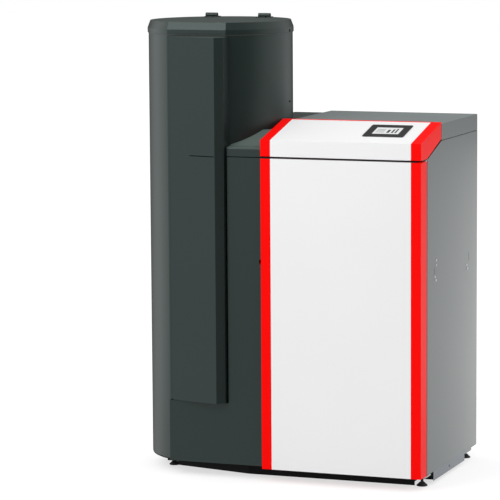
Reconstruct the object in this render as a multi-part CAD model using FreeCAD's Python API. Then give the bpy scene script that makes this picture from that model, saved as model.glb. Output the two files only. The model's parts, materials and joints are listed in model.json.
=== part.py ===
import FreeCAD, Part
import math
import os

# Pellet boiler with a round pellet hopper on its left side.
# Millimetres, +Z up, front facing -Y. The pieces are drawn from the door's lower left front corner
# on the floor, and put() moves them so that the origin is under the middle of the whole appliance.

# Casing sizes
CASE_W = 600.0
CASE_BACK = 702.0
PANEL_BOTTOM = 48.0
SHEET = 1.5
SEAT_GAP = 0.3
CUT_PAST = 1.0
NEAR = 0.01
SIDE_FRONT = 76.0
SIDE_FLANGE = 18.0
LEFT_INSET = 24.0

# Door sizes
DOOR_DEPTH = 70.0
DOOR_TOP = 1174.0
DOOR_STRIP = 37.0
DOOR_PANEL_T = 2.5
DOOR_FLANGE = 30.0
DOOR_FLANGE_T = 0.8
TRIM_GAP = 0.4
SLIT = 8.0
DOOR_AXIS_IN = 6.0
DOOR_AXIS_FWD = 4.0
HINGE_PIN_R = 3.0
RUN_CLEAR = 0.05
HINGE_BLOCK_L = 28.0
HINGE_BLOCK_D = 17.0
HINGE_BLOCK_H = 9.0
HINGE_PLATE = 3.5
HINGE_COLLAR_R = 4.0
HINGE_UNDER = 20.0
CATCH_H = 60.0
CATCH_Z = 800.0

# Console sizes
CONSOLE_BAND = 59.0
CONSOLE_RUN = 242.0
CONSOLE_RISE = 58.0
CONSOLE_DROP = 60.0
CONSOLE_T = 4.0
CONSOLE_EDGE = 8.0
DISPLAY_IN = 163.5
DISPLAY_W = 153.0
DISPLAY_H = 132.0
DISPLAY_UP = 132.0
SCREEN_W = 98.0
SCREEN_H = 73.0
BEZEL_PROUD = 2.5
SCREEN_SUNK = 1.0

# Boiler lid sizes
LID_TOP = 1294.0
LID_SKIRT = 60.0
LID_SLOT = 4.0
SIDE_SEAM = 2.0

# Hopper sizes
HOPPER_X = -262.0
HOPPER_Y = 295.0
HOPPER_R = 265.0
HOPPER_FLAT = 240.0
HOPPER_BOTTOM = 53.0
HOPPER_TOP = 1607.0
HOPPER_SPLIT = 69.0
SEAL_H = 2.7
SEAL_W = 10.0
SEAL_OVER = 1.0
CAP_OVER = 3.3
CAP_LIP = 17.0
CAP_H = 43.5
CAP_INSET = 10.0
CAP_FLANGE = 18.0
CAP_HINGE_BACK = 180.0
CAP_SLOT = 2.0
CAP_HINGE_APART = 105.0
CAP_LEAF_W = 46.0
CAP_LEAF_D = 34.0
CAP_LEAF_T = 3.0
KNUCKLE_R = 8.0
KNUCKLE_LIFT = 0.6
KNUCKLE_MID = 20.0
KNUCKLE_GAP = 0.5
FUNNEL_TOP = 880.0
FUNNEL_BOTTOM = 470.0
FUNNEL_HALF = 176.0
SPOUT_HALF = 38.0

# Cover on the hopper's flat front, measured from the hopper's axis and its flat
COVER_BOTTOM = 279.0
COVER_BELOW = 4.0
COVER_LEFT = 92.0
COVER_CORNER = 95.0
COVER_RIGHT = 121.0
COVER_LEFT_OUT = 36.0
COVER_CORNER_OUT = 75.0
COVER_RIGHT_OUT = 50.0
COVER_SLOT_W = 105.0
COVER_SLOT_H = 3.0
COVER_SLOT_Z = 1177.0
COVER_SLOT_OUT = 2.5
COVER_INTO = 8.0

# Grey front between hopper and door
FRONT_Y = 20.0
FRONT_LEFT_OUT = 105.0
FRONT_STEP_OUT = 126.0
FRONT_STEP_Z = 277.0
FRONT_GAP = 3.0
FRONT_RETURN = 38.0
GREY_SLIT = 3.0
GREY_BAND = 32.0
GREY_LEDGE = 36.0
GREY_LEDGE_RISE = 4.0
GREY_SLOPE = 30.0
GREY_RISE = 56.0
GREY_FLAT = 52.0
BRIDGE_BELOW = 4.0
BRIDGE_LEFT_OUT = 159.0
BRIDGE_BACK_IN = 47.0
NOTCH_R = 12.0
CUP_T = 1.5
CUP_DEEP = 18.0

# Base sizes
FRAME_BOTTOM = 18.0
FRAME_BAR = 40.0
FRAME_FRONT = 105.0
BASE_PLATE = 2.0
PLINTH_T = 2.0
PLINTH_BOTTOM = 4.0
PLINTH_RIGHT_IN = 55.0
PLINTH_BEND_OUT = 172.0
PLINTH_LEFT_OUT = 137.0
PLINTH_LEFT_FWD = 123.0
ARM_OUT = 178.0
ARM_BACK = 145.0
SKIRT_FRONT = 155.0
SKIRT_STEP_IN = 157.0
SKIRT_BACK_IN = 69.0
SKIRT_LOW = 14.0
SKIRT_HIGH = 37.0
SKIRT_HOLE_R = 5.0
SKIRT_HOLE_BACK = 196.0
SKIRT_HOLE_Z = 31.0
FOOT_R = 20.0
FOOT_TOP_R = 6.0
FOOT_H = 16.0
FOOT_STEM_R = 5.0
FOOT_INSET = 34.0

# Boiler body sizes
BODY_LEFT_IN = 66.0
BODY_RIGHT_IN = 70.0
BODY_FRONT = 130.0
BODY_BACK_IN = 142.0
BODY_BOTTOM = 130.0
BODY_BELOW = 42.0
BODY_WALL = 6.0
LEG = 40.0
LAGGING = 25.0
FIRE_IN = 80.0
FIRE_BOTTOM = 150.0
FIRE_TOP = 640.0
FIRE_DOOR_OVER = 14.0
FIRE_DOOR_T = 18.0
HANDLE_R = 7.0
HANDLE_STEM_R = 6.0
HANDLE_OUT = 30.0
HANDLE_L = 120.0
ASH_H = 150.0
ASH_GAP = 6.0
ASH_WALL = 2.0
TUBE_R = 26.0
TUBE_WALL = 3.0
TUBE_ROWS = 3
TUBE_COLS = 4
TUBE_ABOVE_FIRE = 80.0
TUBE_BELOW = 100.0
TUBE_PLATE = 8.0

# Feed screw sizes
FEED_Z = 400.0
FEED_TUBE_R = 45.0
FEED_TUBE_T = 3.0
FEED_LEFT_OUT = 89.0
FEED_SHAFT_R = 10.0
FLIGHT_R = 38.0
FLIGHT_T = 4.0
FLIGHT_PITCH = 60.0
FLIGHT_TURNS = 8
FLIGHT_START = 16.0
FLIGHT_STEPS = 12
BEARING_T = 8.0
GEARBOX = 90.0
MOTOR_R = 38.0
MOTOR_L = 90.0
POT_R = 75.0
POT_H = 90.0
POT_WALL = 5.0

# Draught fan and flue sizes
FAN_LEFT = 60.0
FAN_BELOW = 190.0
FAN_R = 110.0
FAN_D = 50.0
FAN_WALL = 2.0
WHEEL_R = 84.0
WHEEL_D = 38.0
WHEEL_BLADES = 12
BLADE_T = 2.0
WHEEL_HUB_R = 15.0
SMOKE_BOX_D = 34.0
SMOKE_W = 220.0
SMOKE_HOLE_R = 50.0
FAN_SHAFT_R = 5.0
FAN_MOTOR_R = 42.0
FAN_MOTOR_L = 30.0
FLUE_RIGHT = 115.0
FLUE_R = 65.0
FLUE_T = 2.0
FLUE_OUT = 60.0
FLUE_BEAD = 5.0
FLUE_BEAD_T = 3.0

# Water and cable connections
PIPE_R = 16.6
PIPE_BORE_R = 13.5
PIPE_IN = 60.0
FLOW_BELOW = 60.0
RETURN_Z = 240.0
PIPE_OUT = 38.0
NUT_R = 24.0
NUT_T = 12.0
DRAIN_IN = 60.0
DRAIN_Z = 180.0
DRAIN_R = 10.0
DRAIN_HEAD_R = 16.0
GLAND_IN = 100.0
GLAND_BELOW = 32.0
GLAND_R = 11.0
GLAND_NUT_R = 15.4
GLAND_OUT = 22.0

# Switch and thermostat behind the door
SWITCH_IN = 80.0
SWITCH_BELOW = 92.0
SWITCH_W = 34.0
SWITCH_H = 50.0
SWITCH_FRAME = 5.0
SWITCH_DEEP = 12.0
SWITCH_PROUD = 2.0
ROCKER_GAP = 0.6
ROCKER_CLEAR = 3.0
ROCKER_OUT_LOW = 6.0
ROCKER_OUT_MID = 3.0
ROCKER_OUT_HIGH = 1.0
ROCKER_T = 4.0
ROCKER_PIN_SHORT = 1.0
STAT_LEFT = 60.0
STAT_R = 16.0
STAT_OUT = 14.0

# Screws
SCREW_R = 4.0
SCREW_HEAD = 2.0
SIDE_SCREWS = [(183.0, 809.0), (183.0, 792.0), (166.0, 752.0), (178.0, 738.0), (565.0, 745.0),
               (574.0, 731.0)]
SIDE_SLOTS = [(160.0, 774.0, 24.0), (594.0, 773.0, 30.0)]
SIDE_SLOT_W = 3.0
SHELL_SCREW_ANGLE = 2.0
SHELL_SCREW_BELOW = 250.0
SHELL_SCREW_APART = 600.0

# Worked-out places
HEIGHT_SLIT_TOP = DOOR_TOP + SLIT
CONSOLE_BEND = HEIGHT_SLIT_TOP + CONSOLE_BAND
CONSOLE_TOP = CONSOLE_BEND + CONSOLE_RISE
SLOPE = math.atan2(CONSOLE_RISE, CONSOLE_RUN)
SEAM = LID_TOP - LID_SKIRT
WALL_TOP = SEAM - SEAT_GAP
BRIDGE_TOP = LID_TOP - BRIDGE_BELOW
BRIDGE_FRONT = CONSOLE_RUN + LID_SLOT
INNER_Y = SIDE_FRONT + SHEET
INNER_BACK = INNER_Y + SHEET
AXIS_X = CASE_W - DOOR_AXIS_IN
AXIS_Y = DOOR_DEPTH - DOOR_AXIS_FWD
FLAT_Y = HOPPER_Y - HOPPER_FLAT
COVER_TOP = HOPPER_TOP - COVER_BELOW
COVER_BACK = FLAT_Y + COVER_INTO
SHELL_SCREW_HIGH = HOPPER_TOP - SHELL_SCREW_BELOW
SHELL_SCREW_LOW = SHELL_SCREW_HIGH - SHELL_SCREW_APART
FRONT_LEFT = HOPPER_X - FRONT_LEFT_OUT
FRONT_STEP_X = HOPPER_X + FRONT_STEP_OUT
PLINTH_RIGHT = CASE_W - PLINTH_RIGHT_IN
PLINTH_BEND = HOPPER_X + PLINTH_BEND_OUT
PLINTH_LEFT = HOPPER_X - PLINTH_LEFT_OUT
PLINTH_LEFT_Y = HOPPER_Y - PLINTH_LEFT_FWD
ARM_END = HOPPER_X - ARM_OUT
ARM_FRONT_Y = PLINTH_LEFT_Y + PLINTH_T
ARM_BACK_Y = HOPPER_Y + ARM_BACK
SKIRT_STEP = CASE_BACK - SKIRT_STEP_IN
SKIRT_BACK = CASE_BACK - SKIRT_BACK_IN
BODY_LEFT = LEFT_INSET + BODY_LEFT_IN
BODY_RIGHT = CASE_W - BODY_RIGHT_IN
BODY_MID = 0.5 * (BODY_LEFT + BODY_RIGHT)
BODY_BACK = CASE_BACK - BODY_BACK_IN
BODY_TOP = HEIGHT_SLIT_TOP - BODY_BELOW
FIRE_LEFT = BODY_LEFT + FIRE_IN
FIRE_RIGHT = BODY_RIGHT - FIRE_IN
TUBE_BOTTOM = FIRE_TOP + TUBE_ABOVE_FIRE
TUBE_TOP = BODY_TOP - TUBE_BELOW
FEED_LEFT = HOPPER_X - FEED_LEFT_OUT
FEED_RIGHT = BODY_MID - POT_R
FAN_X = BODY_MID - FAN_LEFT
FAN_Z = BODY_TOP - FAN_BELOW
FLUE_X = BODY_MID + FLUE_RIGHT
PIPE_X = BODY_LEFT + PIPE_IN
FLOW_Z = BODY_TOP - FLOW_BELOW
DRAIN_X = BODY_RIGHT - DRAIN_IN
GLAND_X = CASE_W - GLAND_IN
GLAND_Z = HEIGHT_SLIT_TOP - GLAND_BELOW
SWITCH_X = CASE_W - SWITCH_IN
SWITCH_Z = HEIGHT_SLIT_TOP - SWITCH_BELOW
STAT_X = SWITCH_X - STAT_LEFT
DISPLAY_X = CASE_W - DISPLAY_IN
CAP_BOTTOM = HOPPER_TOP + SEAL_H + SEAT_GAP
CAP_TOP = CAP_BOTTOM + CAP_H
CAP_AXIS_Y = HOPPER_Y + CAP_HINGE_BACK
CAP_AXIS_Z = CAP_TOP + KNUCKLE_R + KNUCKLE_LIFT
FAN_FRONT = BODY_BACK + LAGGING + SMOKE_BOX_D
FAN_BACK = FAN_FRONT + FAN_D
FLUE_END = CASE_BACK + FLUE_OUT
MID_X = 0.5 * (HOPPER_X - HOPPER_R - CAP_OVER + CASE_W + SCREW_HEAD)
MID_Y = 0.5 * (FLAT_Y - COVER_CORNER_OUT + FLUE_END)

X = FreeCAD.Vector(1, 0, 0)
Y = FreeCAD.Vector(0, 1, 0)
Z = FreeCAD.Vector(0, 0, 1)


def put(name, *shapes):
    """Move the piece into the row's frame and write it as one node."""
    shape = shapes[0] if len(shapes) == 1 else Part.makeCompound(list(shapes))
    shape = shape.copy()
    shape.translate(FreeCAD.Vector(-MID_X, -MID_Y, 0))
    shape.exportStep("parts/" + name + ".step")


def box(x0, x1, y0, y1, z0, z1):
    return Part.makeBox(x1 - x0, y1 - y0, z1 - z0, FreeCAD.Vector(x0, y0, z0))


def rod(x, y, z, along, r, length):
    return Part.makeCylinder(r, length, FreeCAD.Vector(x, y, z), along)


def pipe(x, y, z, along, r, bore_r, length):
    return rod(x, y, z, along, r, length).cut(rod(x, y, z, along, bore_r, length))


def plan(points, z0, z1):
    """Prism of an outline drawn from above."""
    corners = [FreeCAD.Vector(a, b, z0) for a, b in points]
    return Part.Face(Part.makePolygon(corners + corners[:1])).extrude(Z * (z1 - z0))


def side(points, x0, x1):
    """Prism of an outline drawn from the right, as (Y, Z) points."""
    corners = [FreeCAD.Vector(x0, a, b) for a, b in points]
    return Part.Face(Part.makePolygon(corners + corners[:1])).extrude(X * (x1 - x0))


def front(points, y0, y1):
    """Prism of an outline drawn from the front, as (X, Z) points."""
    corners = [FreeCAD.Vector(a, y0, b) for a, b in points]
    return Part.Face(Part.makePolygon(corners + corners[:1])).extrude(Y * (y1 - y0))


def bent(points, t):
    """Outline of a bent sheet: the points, and back along them t to their left with mitred bends."""
    inner = []
    for i, here in enumerate(points):
        before = points[max(i - 1, 0)]
        after = points[min(i + 1, len(points) - 1)]
        normals = []
        for a, b in ((before, here), (here, after)):
            length = math.hypot(b[0] - a[0], b[1] - a[1])
            if length > 0:
                normals.append(((a[1] - b[1]) / length, (b[0] - a[0]) / length))
        nx = sum(n[0] for n in normals)
        ny = sum(n[1] for n in normals)
        scale = t * len(normals) / (nx * nx + ny * ny)
        if len(normals) == 1:
            scale = t
        inner.append((here[0] + nx * scale, here[1] + ny * scale))
    return list(points) + inner[::-1]


def round_flat(r, flat, z):
    """Face of the hopper's plan: a circle with a flat front, flat measured from the axis."""
    half = math.sqrt(r * r - flat * flat)
    left = FreeCAD.Vector(HOPPER_X - half, HOPPER_Y - flat, z)
    right = FreeCAD.Vector(HOPPER_X + half, HOPPER_Y - flat, z)
    back = FreeCAD.Vector(HOPPER_X, HOPPER_Y + r, z)
    arc = Part.Arc(right, back, left).toShape()
    chord = Part.LineSegment(left, right).toShape()
    return Part.Wire([arc, chord])


def drum(inset, z0, z1):
    """Solid of the hopper's plan, inset from its outer wall."""
    wire = round_flat(HOPPER_R - inset, HOPPER_FLAT - inset, z0)
    return Part.Face(wire).extrude(Z * (z1 - z0))


def halves(solid, y):
    """The parts of a solid in front of and behind the plane at y."""
    b = solid.BoundBox
    b.enlarge(CUT_PAST)
    ahead = box(b.XMin, b.XMax, b.YMin, y, b.ZMin, b.ZMax)
    return solid.common(ahead), solid.cut(ahead)


def on_slope(along_up, out):
    """Point (Y, Z) on the console's slope, measured up it from the bend and out from it."""
    y = along_up * math.cos(SLOPE) - out * math.sin(SLOPE)
    z = CONSOLE_BEND + along_up * math.sin(SLOPE) + out * math.cos(SLOPE)
    return y, z


def slope_block(width, low, high, under, over):
    """Block on the console's slope, centred on the display across the width."""
    spots = ((low, under), (high, under), (high, over), (low, over))
    corners = [on_slope(up, out) for up, out in spots]
    return side(corners, DISPLAY_X - width / 2, DISPLAY_X + width / 2)


# Base frame, plinth and feet
def make_base():
    inner_left = LEFT_INSET + SHEET
    inner_right = CASE_W - SHEET
    inner_back = CASE_BACK - SHEET
    inner_bar = inner_left + FRAME_BAR
    arm_back = ARM_BACK_Y + FRAME_BAR
    plate_z = PANEL_BOTTOM - BASE_PLATE
    frame = box(inner_left, inner_right, FRAME_FRONT, inner_back, plate_z, PANEL_BOTTOM)
    frame = frame.fuse(box(ARM_END, inner_bar, ARM_FRONT_Y, arm_back, plate_z, PANEL_BOTTOM))
    for y in (FRAME_FRONT, inner_back - FRAME_BAR):
        frame = frame.fuse(box(inner_left, PLINTH_RIGHT, y, y + FRAME_BAR, FRAME_BOTTOM, PANEL_BOTTOM))
    for x in (inner_left, BODY_LEFT, BODY_RIGHT - FRAME_BAR):
        frame = frame.fuse(box(x, x + FRAME_BAR, FRAME_FRONT, inner_back, FRAME_BOTTOM, PANEL_BOTTOM))
    right_bar = inner_right - FRAME_BAR
    frame = frame.fuse(box(right_bar, inner_right, SKIRT_FRONT, SKIRT_STEP, FRAME_BOTTOM, PANEL_BOTTOM))
    for y in (ARM_FRONT_Y, ARM_BACK_Y):
        frame = frame.fuse(box(ARM_END, inner_bar, y, y + FRAME_BAR, FRAME_BOTTOM, PANEL_BOTTOM))
    frame = frame.fuse(box(ARM_END, ARM_END + FRAME_BAR, ARM_FRONT_Y, arm_back, FRAME_BOTTOM, PANEL_BOTTOM))
    frame = frame.removeSplitter()
    right = CASE_W - FOOT_INSET
    left = LEFT_INSET + FOOT_INSET
    front_y = FRAME_FRONT + FRAME_BAR / 2
    rear_y = CASE_BACK - FOOT_INSET
    end_x = ARM_END + FRAME_BAR / 2
    end_y = ARM_FRONT_Y + FRAME_BAR / 2
    end_rear_y = ARM_BACK_Y + FRAME_BAR / 2
    spots = [(right, front_y), (right, rear_y), (left, rear_y), (end_x, end_y), (end_x, end_rear_y)]
    feet = []
    for x, y in spots:
        stem = rod(x, y, FOOT_H, Z, FOOT_STEM_R, plate_z - FOOT_H)
        frame = frame.cut(stem)
        cone = Part.makeCone(FOOT_R, FOOT_TOP_R, FOOT_H, FreeCAD.Vector(x, y, 0), Z)
        feet.append(cone.fuse(stem))
    put("base_frame", frame)
    put("levelling_feet", *feet)
    plinth_y = FRAME_FRONT - PLINTH_T
    line = [(PLINTH_LEFT, PLINTH_LEFT_Y), (PLINTH_BEND, plinth_y), (PLINTH_RIGHT, plinth_y)]
    put("front_plinth", plan(bent(line, PLINTH_T), PLINTH_BOTTOM, PANEL_BOTTOM))
    outline = [(SKIRT_FRONT, SKIRT_LOW), (SKIRT_STEP, SKIRT_LOW), (SKIRT_STEP, SKIRT_HIGH),
               (SKIRT_BACK, SKIRT_HIGH), (SKIRT_BACK, PANEL_BOTTOM), (SKIRT_FRONT, PANEL_BOTTOM)]
    skirt = side(outline, CASE_W - SHEET, CASE_W)
    hole_y = SKIRT_FRONT + SKIRT_HOLE_BACK
    put("base_side_plate", skirt.cut(rod(CASE_W - SHEET, hole_y, SKIRT_HOLE_Z, X, SKIRT_HOLE_R, SHEET)))


# Sheet casing
def side_outline():
    high = SEAM - SIDE_SEAM
    cut_low = HEIGHT_SLIT_TOP - 2 * SHEET
    return [(SIDE_FRONT, PANEL_BOTTOM), (CASE_BACK, PANEL_BOTTOM), (CASE_BACK, high), (BRIDGE_FRONT, high),
            (SIDE_FRONT, cut_low)]


def make_casing():
    flange_top = HEIGHT_SLIT_TOP - 2 * SHEET
    right = side(side_outline(), CASE_W - SHEET, CASE_W)
    right = right.fuse(box(CASE_W - SIDE_FLANGE, CASE_W - SHEET, SIDE_FRONT, INNER_Y,
                           PANEL_BOTTOM, flange_top))
    for y, z, length in SIDE_SLOTS:
        right = right.cut(box(CASE_W - 2 * SHEET, CASE_W + SHEET, y - SIDE_SLOT_W / 2, y + SIDE_SLOT_W / 2,
                              z - length / 2, z + length / 2))
    put("right_side_panel", right.removeSplitter())
    left = side(side_outline(), LEFT_INSET, LEFT_INSET + SHEET)
    left = left.fuse(box(LEFT_INSET + SHEET, LEFT_INSET + SIDE_FLANGE, SIDE_FRONT, INNER_Y,
                         PANEL_BOTTOM, flange_top))
    left = left.cut(rod(LEFT_INSET - SHEET, HOPPER_Y, FEED_Z, X, FEED_TUBE_R, 3 * SHEET))
    put("left_side_panel", left.removeSplitter())
    rear = box(LEFT_INSET + SHEET, CASE_W - SHEET, CASE_BACK - SHEET, CASE_BACK, PANEL_BOTTOM, WALL_TOP)
    holes = [(FLUE_X, FAN_Z, FLUE_R), (PIPE_X, FLOW_Z, PIPE_R), (PIPE_X, RETURN_Z, PIPE_R),
             (DRAIN_X, DRAIN_Z, DRAIN_R), (GLAND_X, GLAND_Z, GLAND_R)]
    for x, z, r in holes:
        rear = rear.cut(rod(x, CASE_BACK - 2 * SHEET, z, Y, r, 3 * SHEET))
    put("rear_panel", rear)
    inner = box(LEFT_INSET + SHEET, CASE_W - SHEET, INNER_Y, INNER_BACK, PANEL_BOTTOM, HEIGHT_SLIT_TOP)
    cut_front = INNER_Y - CUT_PAST
    cut_back = INNER_BACK + CUT_PAST
    inner = inner.cut(box(FIRE_LEFT, FIRE_RIGHT, cut_front, cut_back, FIRE_BOTTOM, FIRE_TOP))
    inner = inner.cut(box(SWITCH_X - SWITCH_W / 2, SWITCH_X + SWITCH_W / 2, cut_front, cut_back,
                          SWITCH_Z - SWITCH_H / 2, SWITCH_Z + SWITCH_H / 2))
    put("inner_front_panel", inner)
    screws = []
    for y, z in SIDE_SCREWS:
        screws.append(rod(CASE_W, y, z, X, SCREW_R, SCREW_HEAD))
    put("side_panel_screws", *screws)


# Grey front between the hopper and the door
def make_front():
    right = -FRONT_GAP
    low = HOPPER_BOTTOM
    outline = [(FRONT_LEFT, low), (right, low), (right, DOOR_TOP), (FRONT_STEP_X, DOOR_TOP),
               (FRONT_STEP_X, FRONT_STEP_Z), (FRONT_LEFT, FRONT_STEP_Z)]
    panel = front(outline, FRONT_Y, FRONT_Y + SHEET)
    back = FRONT_Y + SHEET
    panel = panel.fuse(box(right - SHEET, right, back, FRONT_Y + FRONT_RETURN, low, DOOR_TOP))
    panel = panel.fuse(box(FRONT_LEFT, FRONT_LEFT + SHEET, back, FLAT_Y, low, FRONT_STEP_Z))
    panel = panel.fuse(box(FRONT_STEP_X, FRONT_STEP_X + SHEET, back, FLAT_Y, low, DOOR_TOP))
    notch = rod(right, FRONT_Y - CUT_PAST, CATCH_Z, Y, NOTCH_R, CUP_DEEP + CUT_PAST)
    put("hopper_front_panel", panel.removeSplitter().cut(notch))
    cup = rod(right, FRONT_Y, CATCH_Z, Y, NOTCH_R, CUP_DEEP)
    cup = cup.cut(rod(right, FRONT_Y - CUP_T, CATCH_Z, Y, NOTCH_R - CUP_T, CUP_DEEP))
    half = box(right - NOTCH_R, right, FRONT_Y, FRONT_Y + CUP_DEEP, CATCH_Z - NOTCH_R, CATCH_Z + NOTCH_R)
    put("finger_cup", cup.common(half))
    low = DOOR_TOP + GREY_SLIT
    bend = low + GREY_BAND
    ledge_y = FRONT_Y + GREY_LEDGE
    ledge_z = bend + GREY_LEDGE_RISE
    top_z = bend + GREY_RISE
    top_y = ledge_y + (top_z - ledge_z) / math.tan(math.radians(GREY_SLOPE))
    line = [(top_y + GREY_FLAT, top_z), (top_y, top_z), (ledge_y, ledge_z), (FRONT_Y, bend), (FRONT_Y, low)]
    cover = side(bent(line, SHEET), FRONT_STEP_X, right)
    put("hopper_top_cover", cover.cut(drum(0.0, low - CUT_PAST, LID_TOP)))
    bridge_left = HOPPER_X + BRIDGE_LEFT_OUT
    bridge_right = LEFT_INSET - SEAT_GAP
    bridge_back = CASE_BACK - BRIDGE_BACK_IN
    rear_y = bridge_back - SHEET
    bridge = box(bridge_left, bridge_right, BRIDGE_FRONT, bridge_back, BRIDGE_TOP - SHEET, BRIDGE_TOP)
    bridge = bridge.fuse(box(bridge_left, bridge_right, rear_y, bridge_back, PANEL_BOTTOM, BRIDGE_TOP))
    bridge = bridge.fuse(box(bridge_left, bridge_left + SHEET, HOPPER_Y, rear_y, PANEL_BOTTOM, BRIDGE_TOP))
    put("side_bridge_cover", bridge.removeSplitter().cut(drum(0.0, PANEL_BOTTOM - CUT_PAST, LID_TOP)))


# Console with its inlaid panel and display
def make_console():
    line = [(0.0, HEIGHT_SLIT_TOP), (0.0, CONSOLE_BEND), (CONSOLE_RUN, CONSOLE_TOP),
            (CONSOLE_RUN, CONSOLE_TOP - CONSOLE_DROP)]
    cheek = line + [(DOOR_DEPTH, HEIGHT_SLIT_TOP)]
    frame = side(bent(line[::-1], CONSOLE_T), 0.0, CASE_W)
    for x in (0.0, CASE_W - CONSOLE_T):
        frame = frame.fuse(side(cheek, x, x + CONSOLE_T))
    frame = frame.fuse(box(0.0, CASE_W, 0.0, INNER_BACK, HEIGHT_SLIT_TOP, HEIGHT_SLIT_TOP + CONSOLE_T / 2))
    inlay_end = CONSOLE_RUN / math.cos(SLOPE) - CONSOLE_EDGE
    inlay = [(0.0, HEIGHT_SLIT_TOP), (0.0, CONSOLE_BEND), on_slope(inlay_end, 0.0)]
    frame = frame.cut(side(bent(inlay[::-1], DOOR_PANEL_T), DOOR_STRIP, CASE_W - DOOR_STRIP))
    inlay[2] = on_slope(inlay_end - TRIM_GAP, 0.0)
    panel = side(bent(inlay[::-1], DOOR_PANEL_T), DOOR_STRIP + TRIM_GAP, CASE_W - DOOR_STRIP - TRIM_GAP)
    low = DISPLAY_UP - SCREEN_H / 2
    high = DISPLAY_UP + SCREEN_H / 2
    hole = slope_block(SCREEN_W, low, high, -4 * CONSOLE_T, CONSOLE_T)
    put("console_frame", frame.removeSplitter().cut(hole))
    put("console_panel", panel.cut(hole))
    bezel = slope_block(DISPLAY_W, DISPLAY_UP - DISPLAY_H / 2, DISPLAY_UP + DISPLAY_H / 2, 0.0, BEZEL_PROUD)
    edges = [e for e in bezel.Edges if abs(e.Length - BEZEL_PROUD) < NEAR]
    bezel = bezel.makeFillet(3 * BEZEL_PROUD, edges)
    put("display_bezel", bezel.cut(hole))
    put("display_screen", slope_block(SCREEN_W, low, high, -CONSOLE_T, BEZEL_PROUD - SCREEN_SUNK))
    back = CONSOLE_RUN - 4 * CONSOLE_T
    top = CONSOLE_BEND - 4 * CONSOLE_T
    bottom = BODY_TOP + LAGGING
    put("control_box", box(DOOR_STRIP * 2, CASE_W - DOOR_STRIP * 2, INNER_BACK, back, bottom, top))


# Boiler lid
def make_boiler_lid():
    lid = box(LEFT_INSET, CASE_W, BRIDGE_FRONT, CASE_BACK, SEAM, LID_TOP)
    rim = [e for e in lid.Edges if e.BoundBox.ZMin > LID_TOP - NEAR]
    lid = lid.makeFillet(2 * SHEET, rim)
    hollow = box(LEFT_INSET + SHEET, CASE_W - SHEET, BRIDGE_FRONT + SHEET, CASE_BACK - SHEET,
                 SEAM - CUT_PAST, LID_TOP - SHEET)
    put("boiler_lid", lid.cut(hollow))


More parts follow.
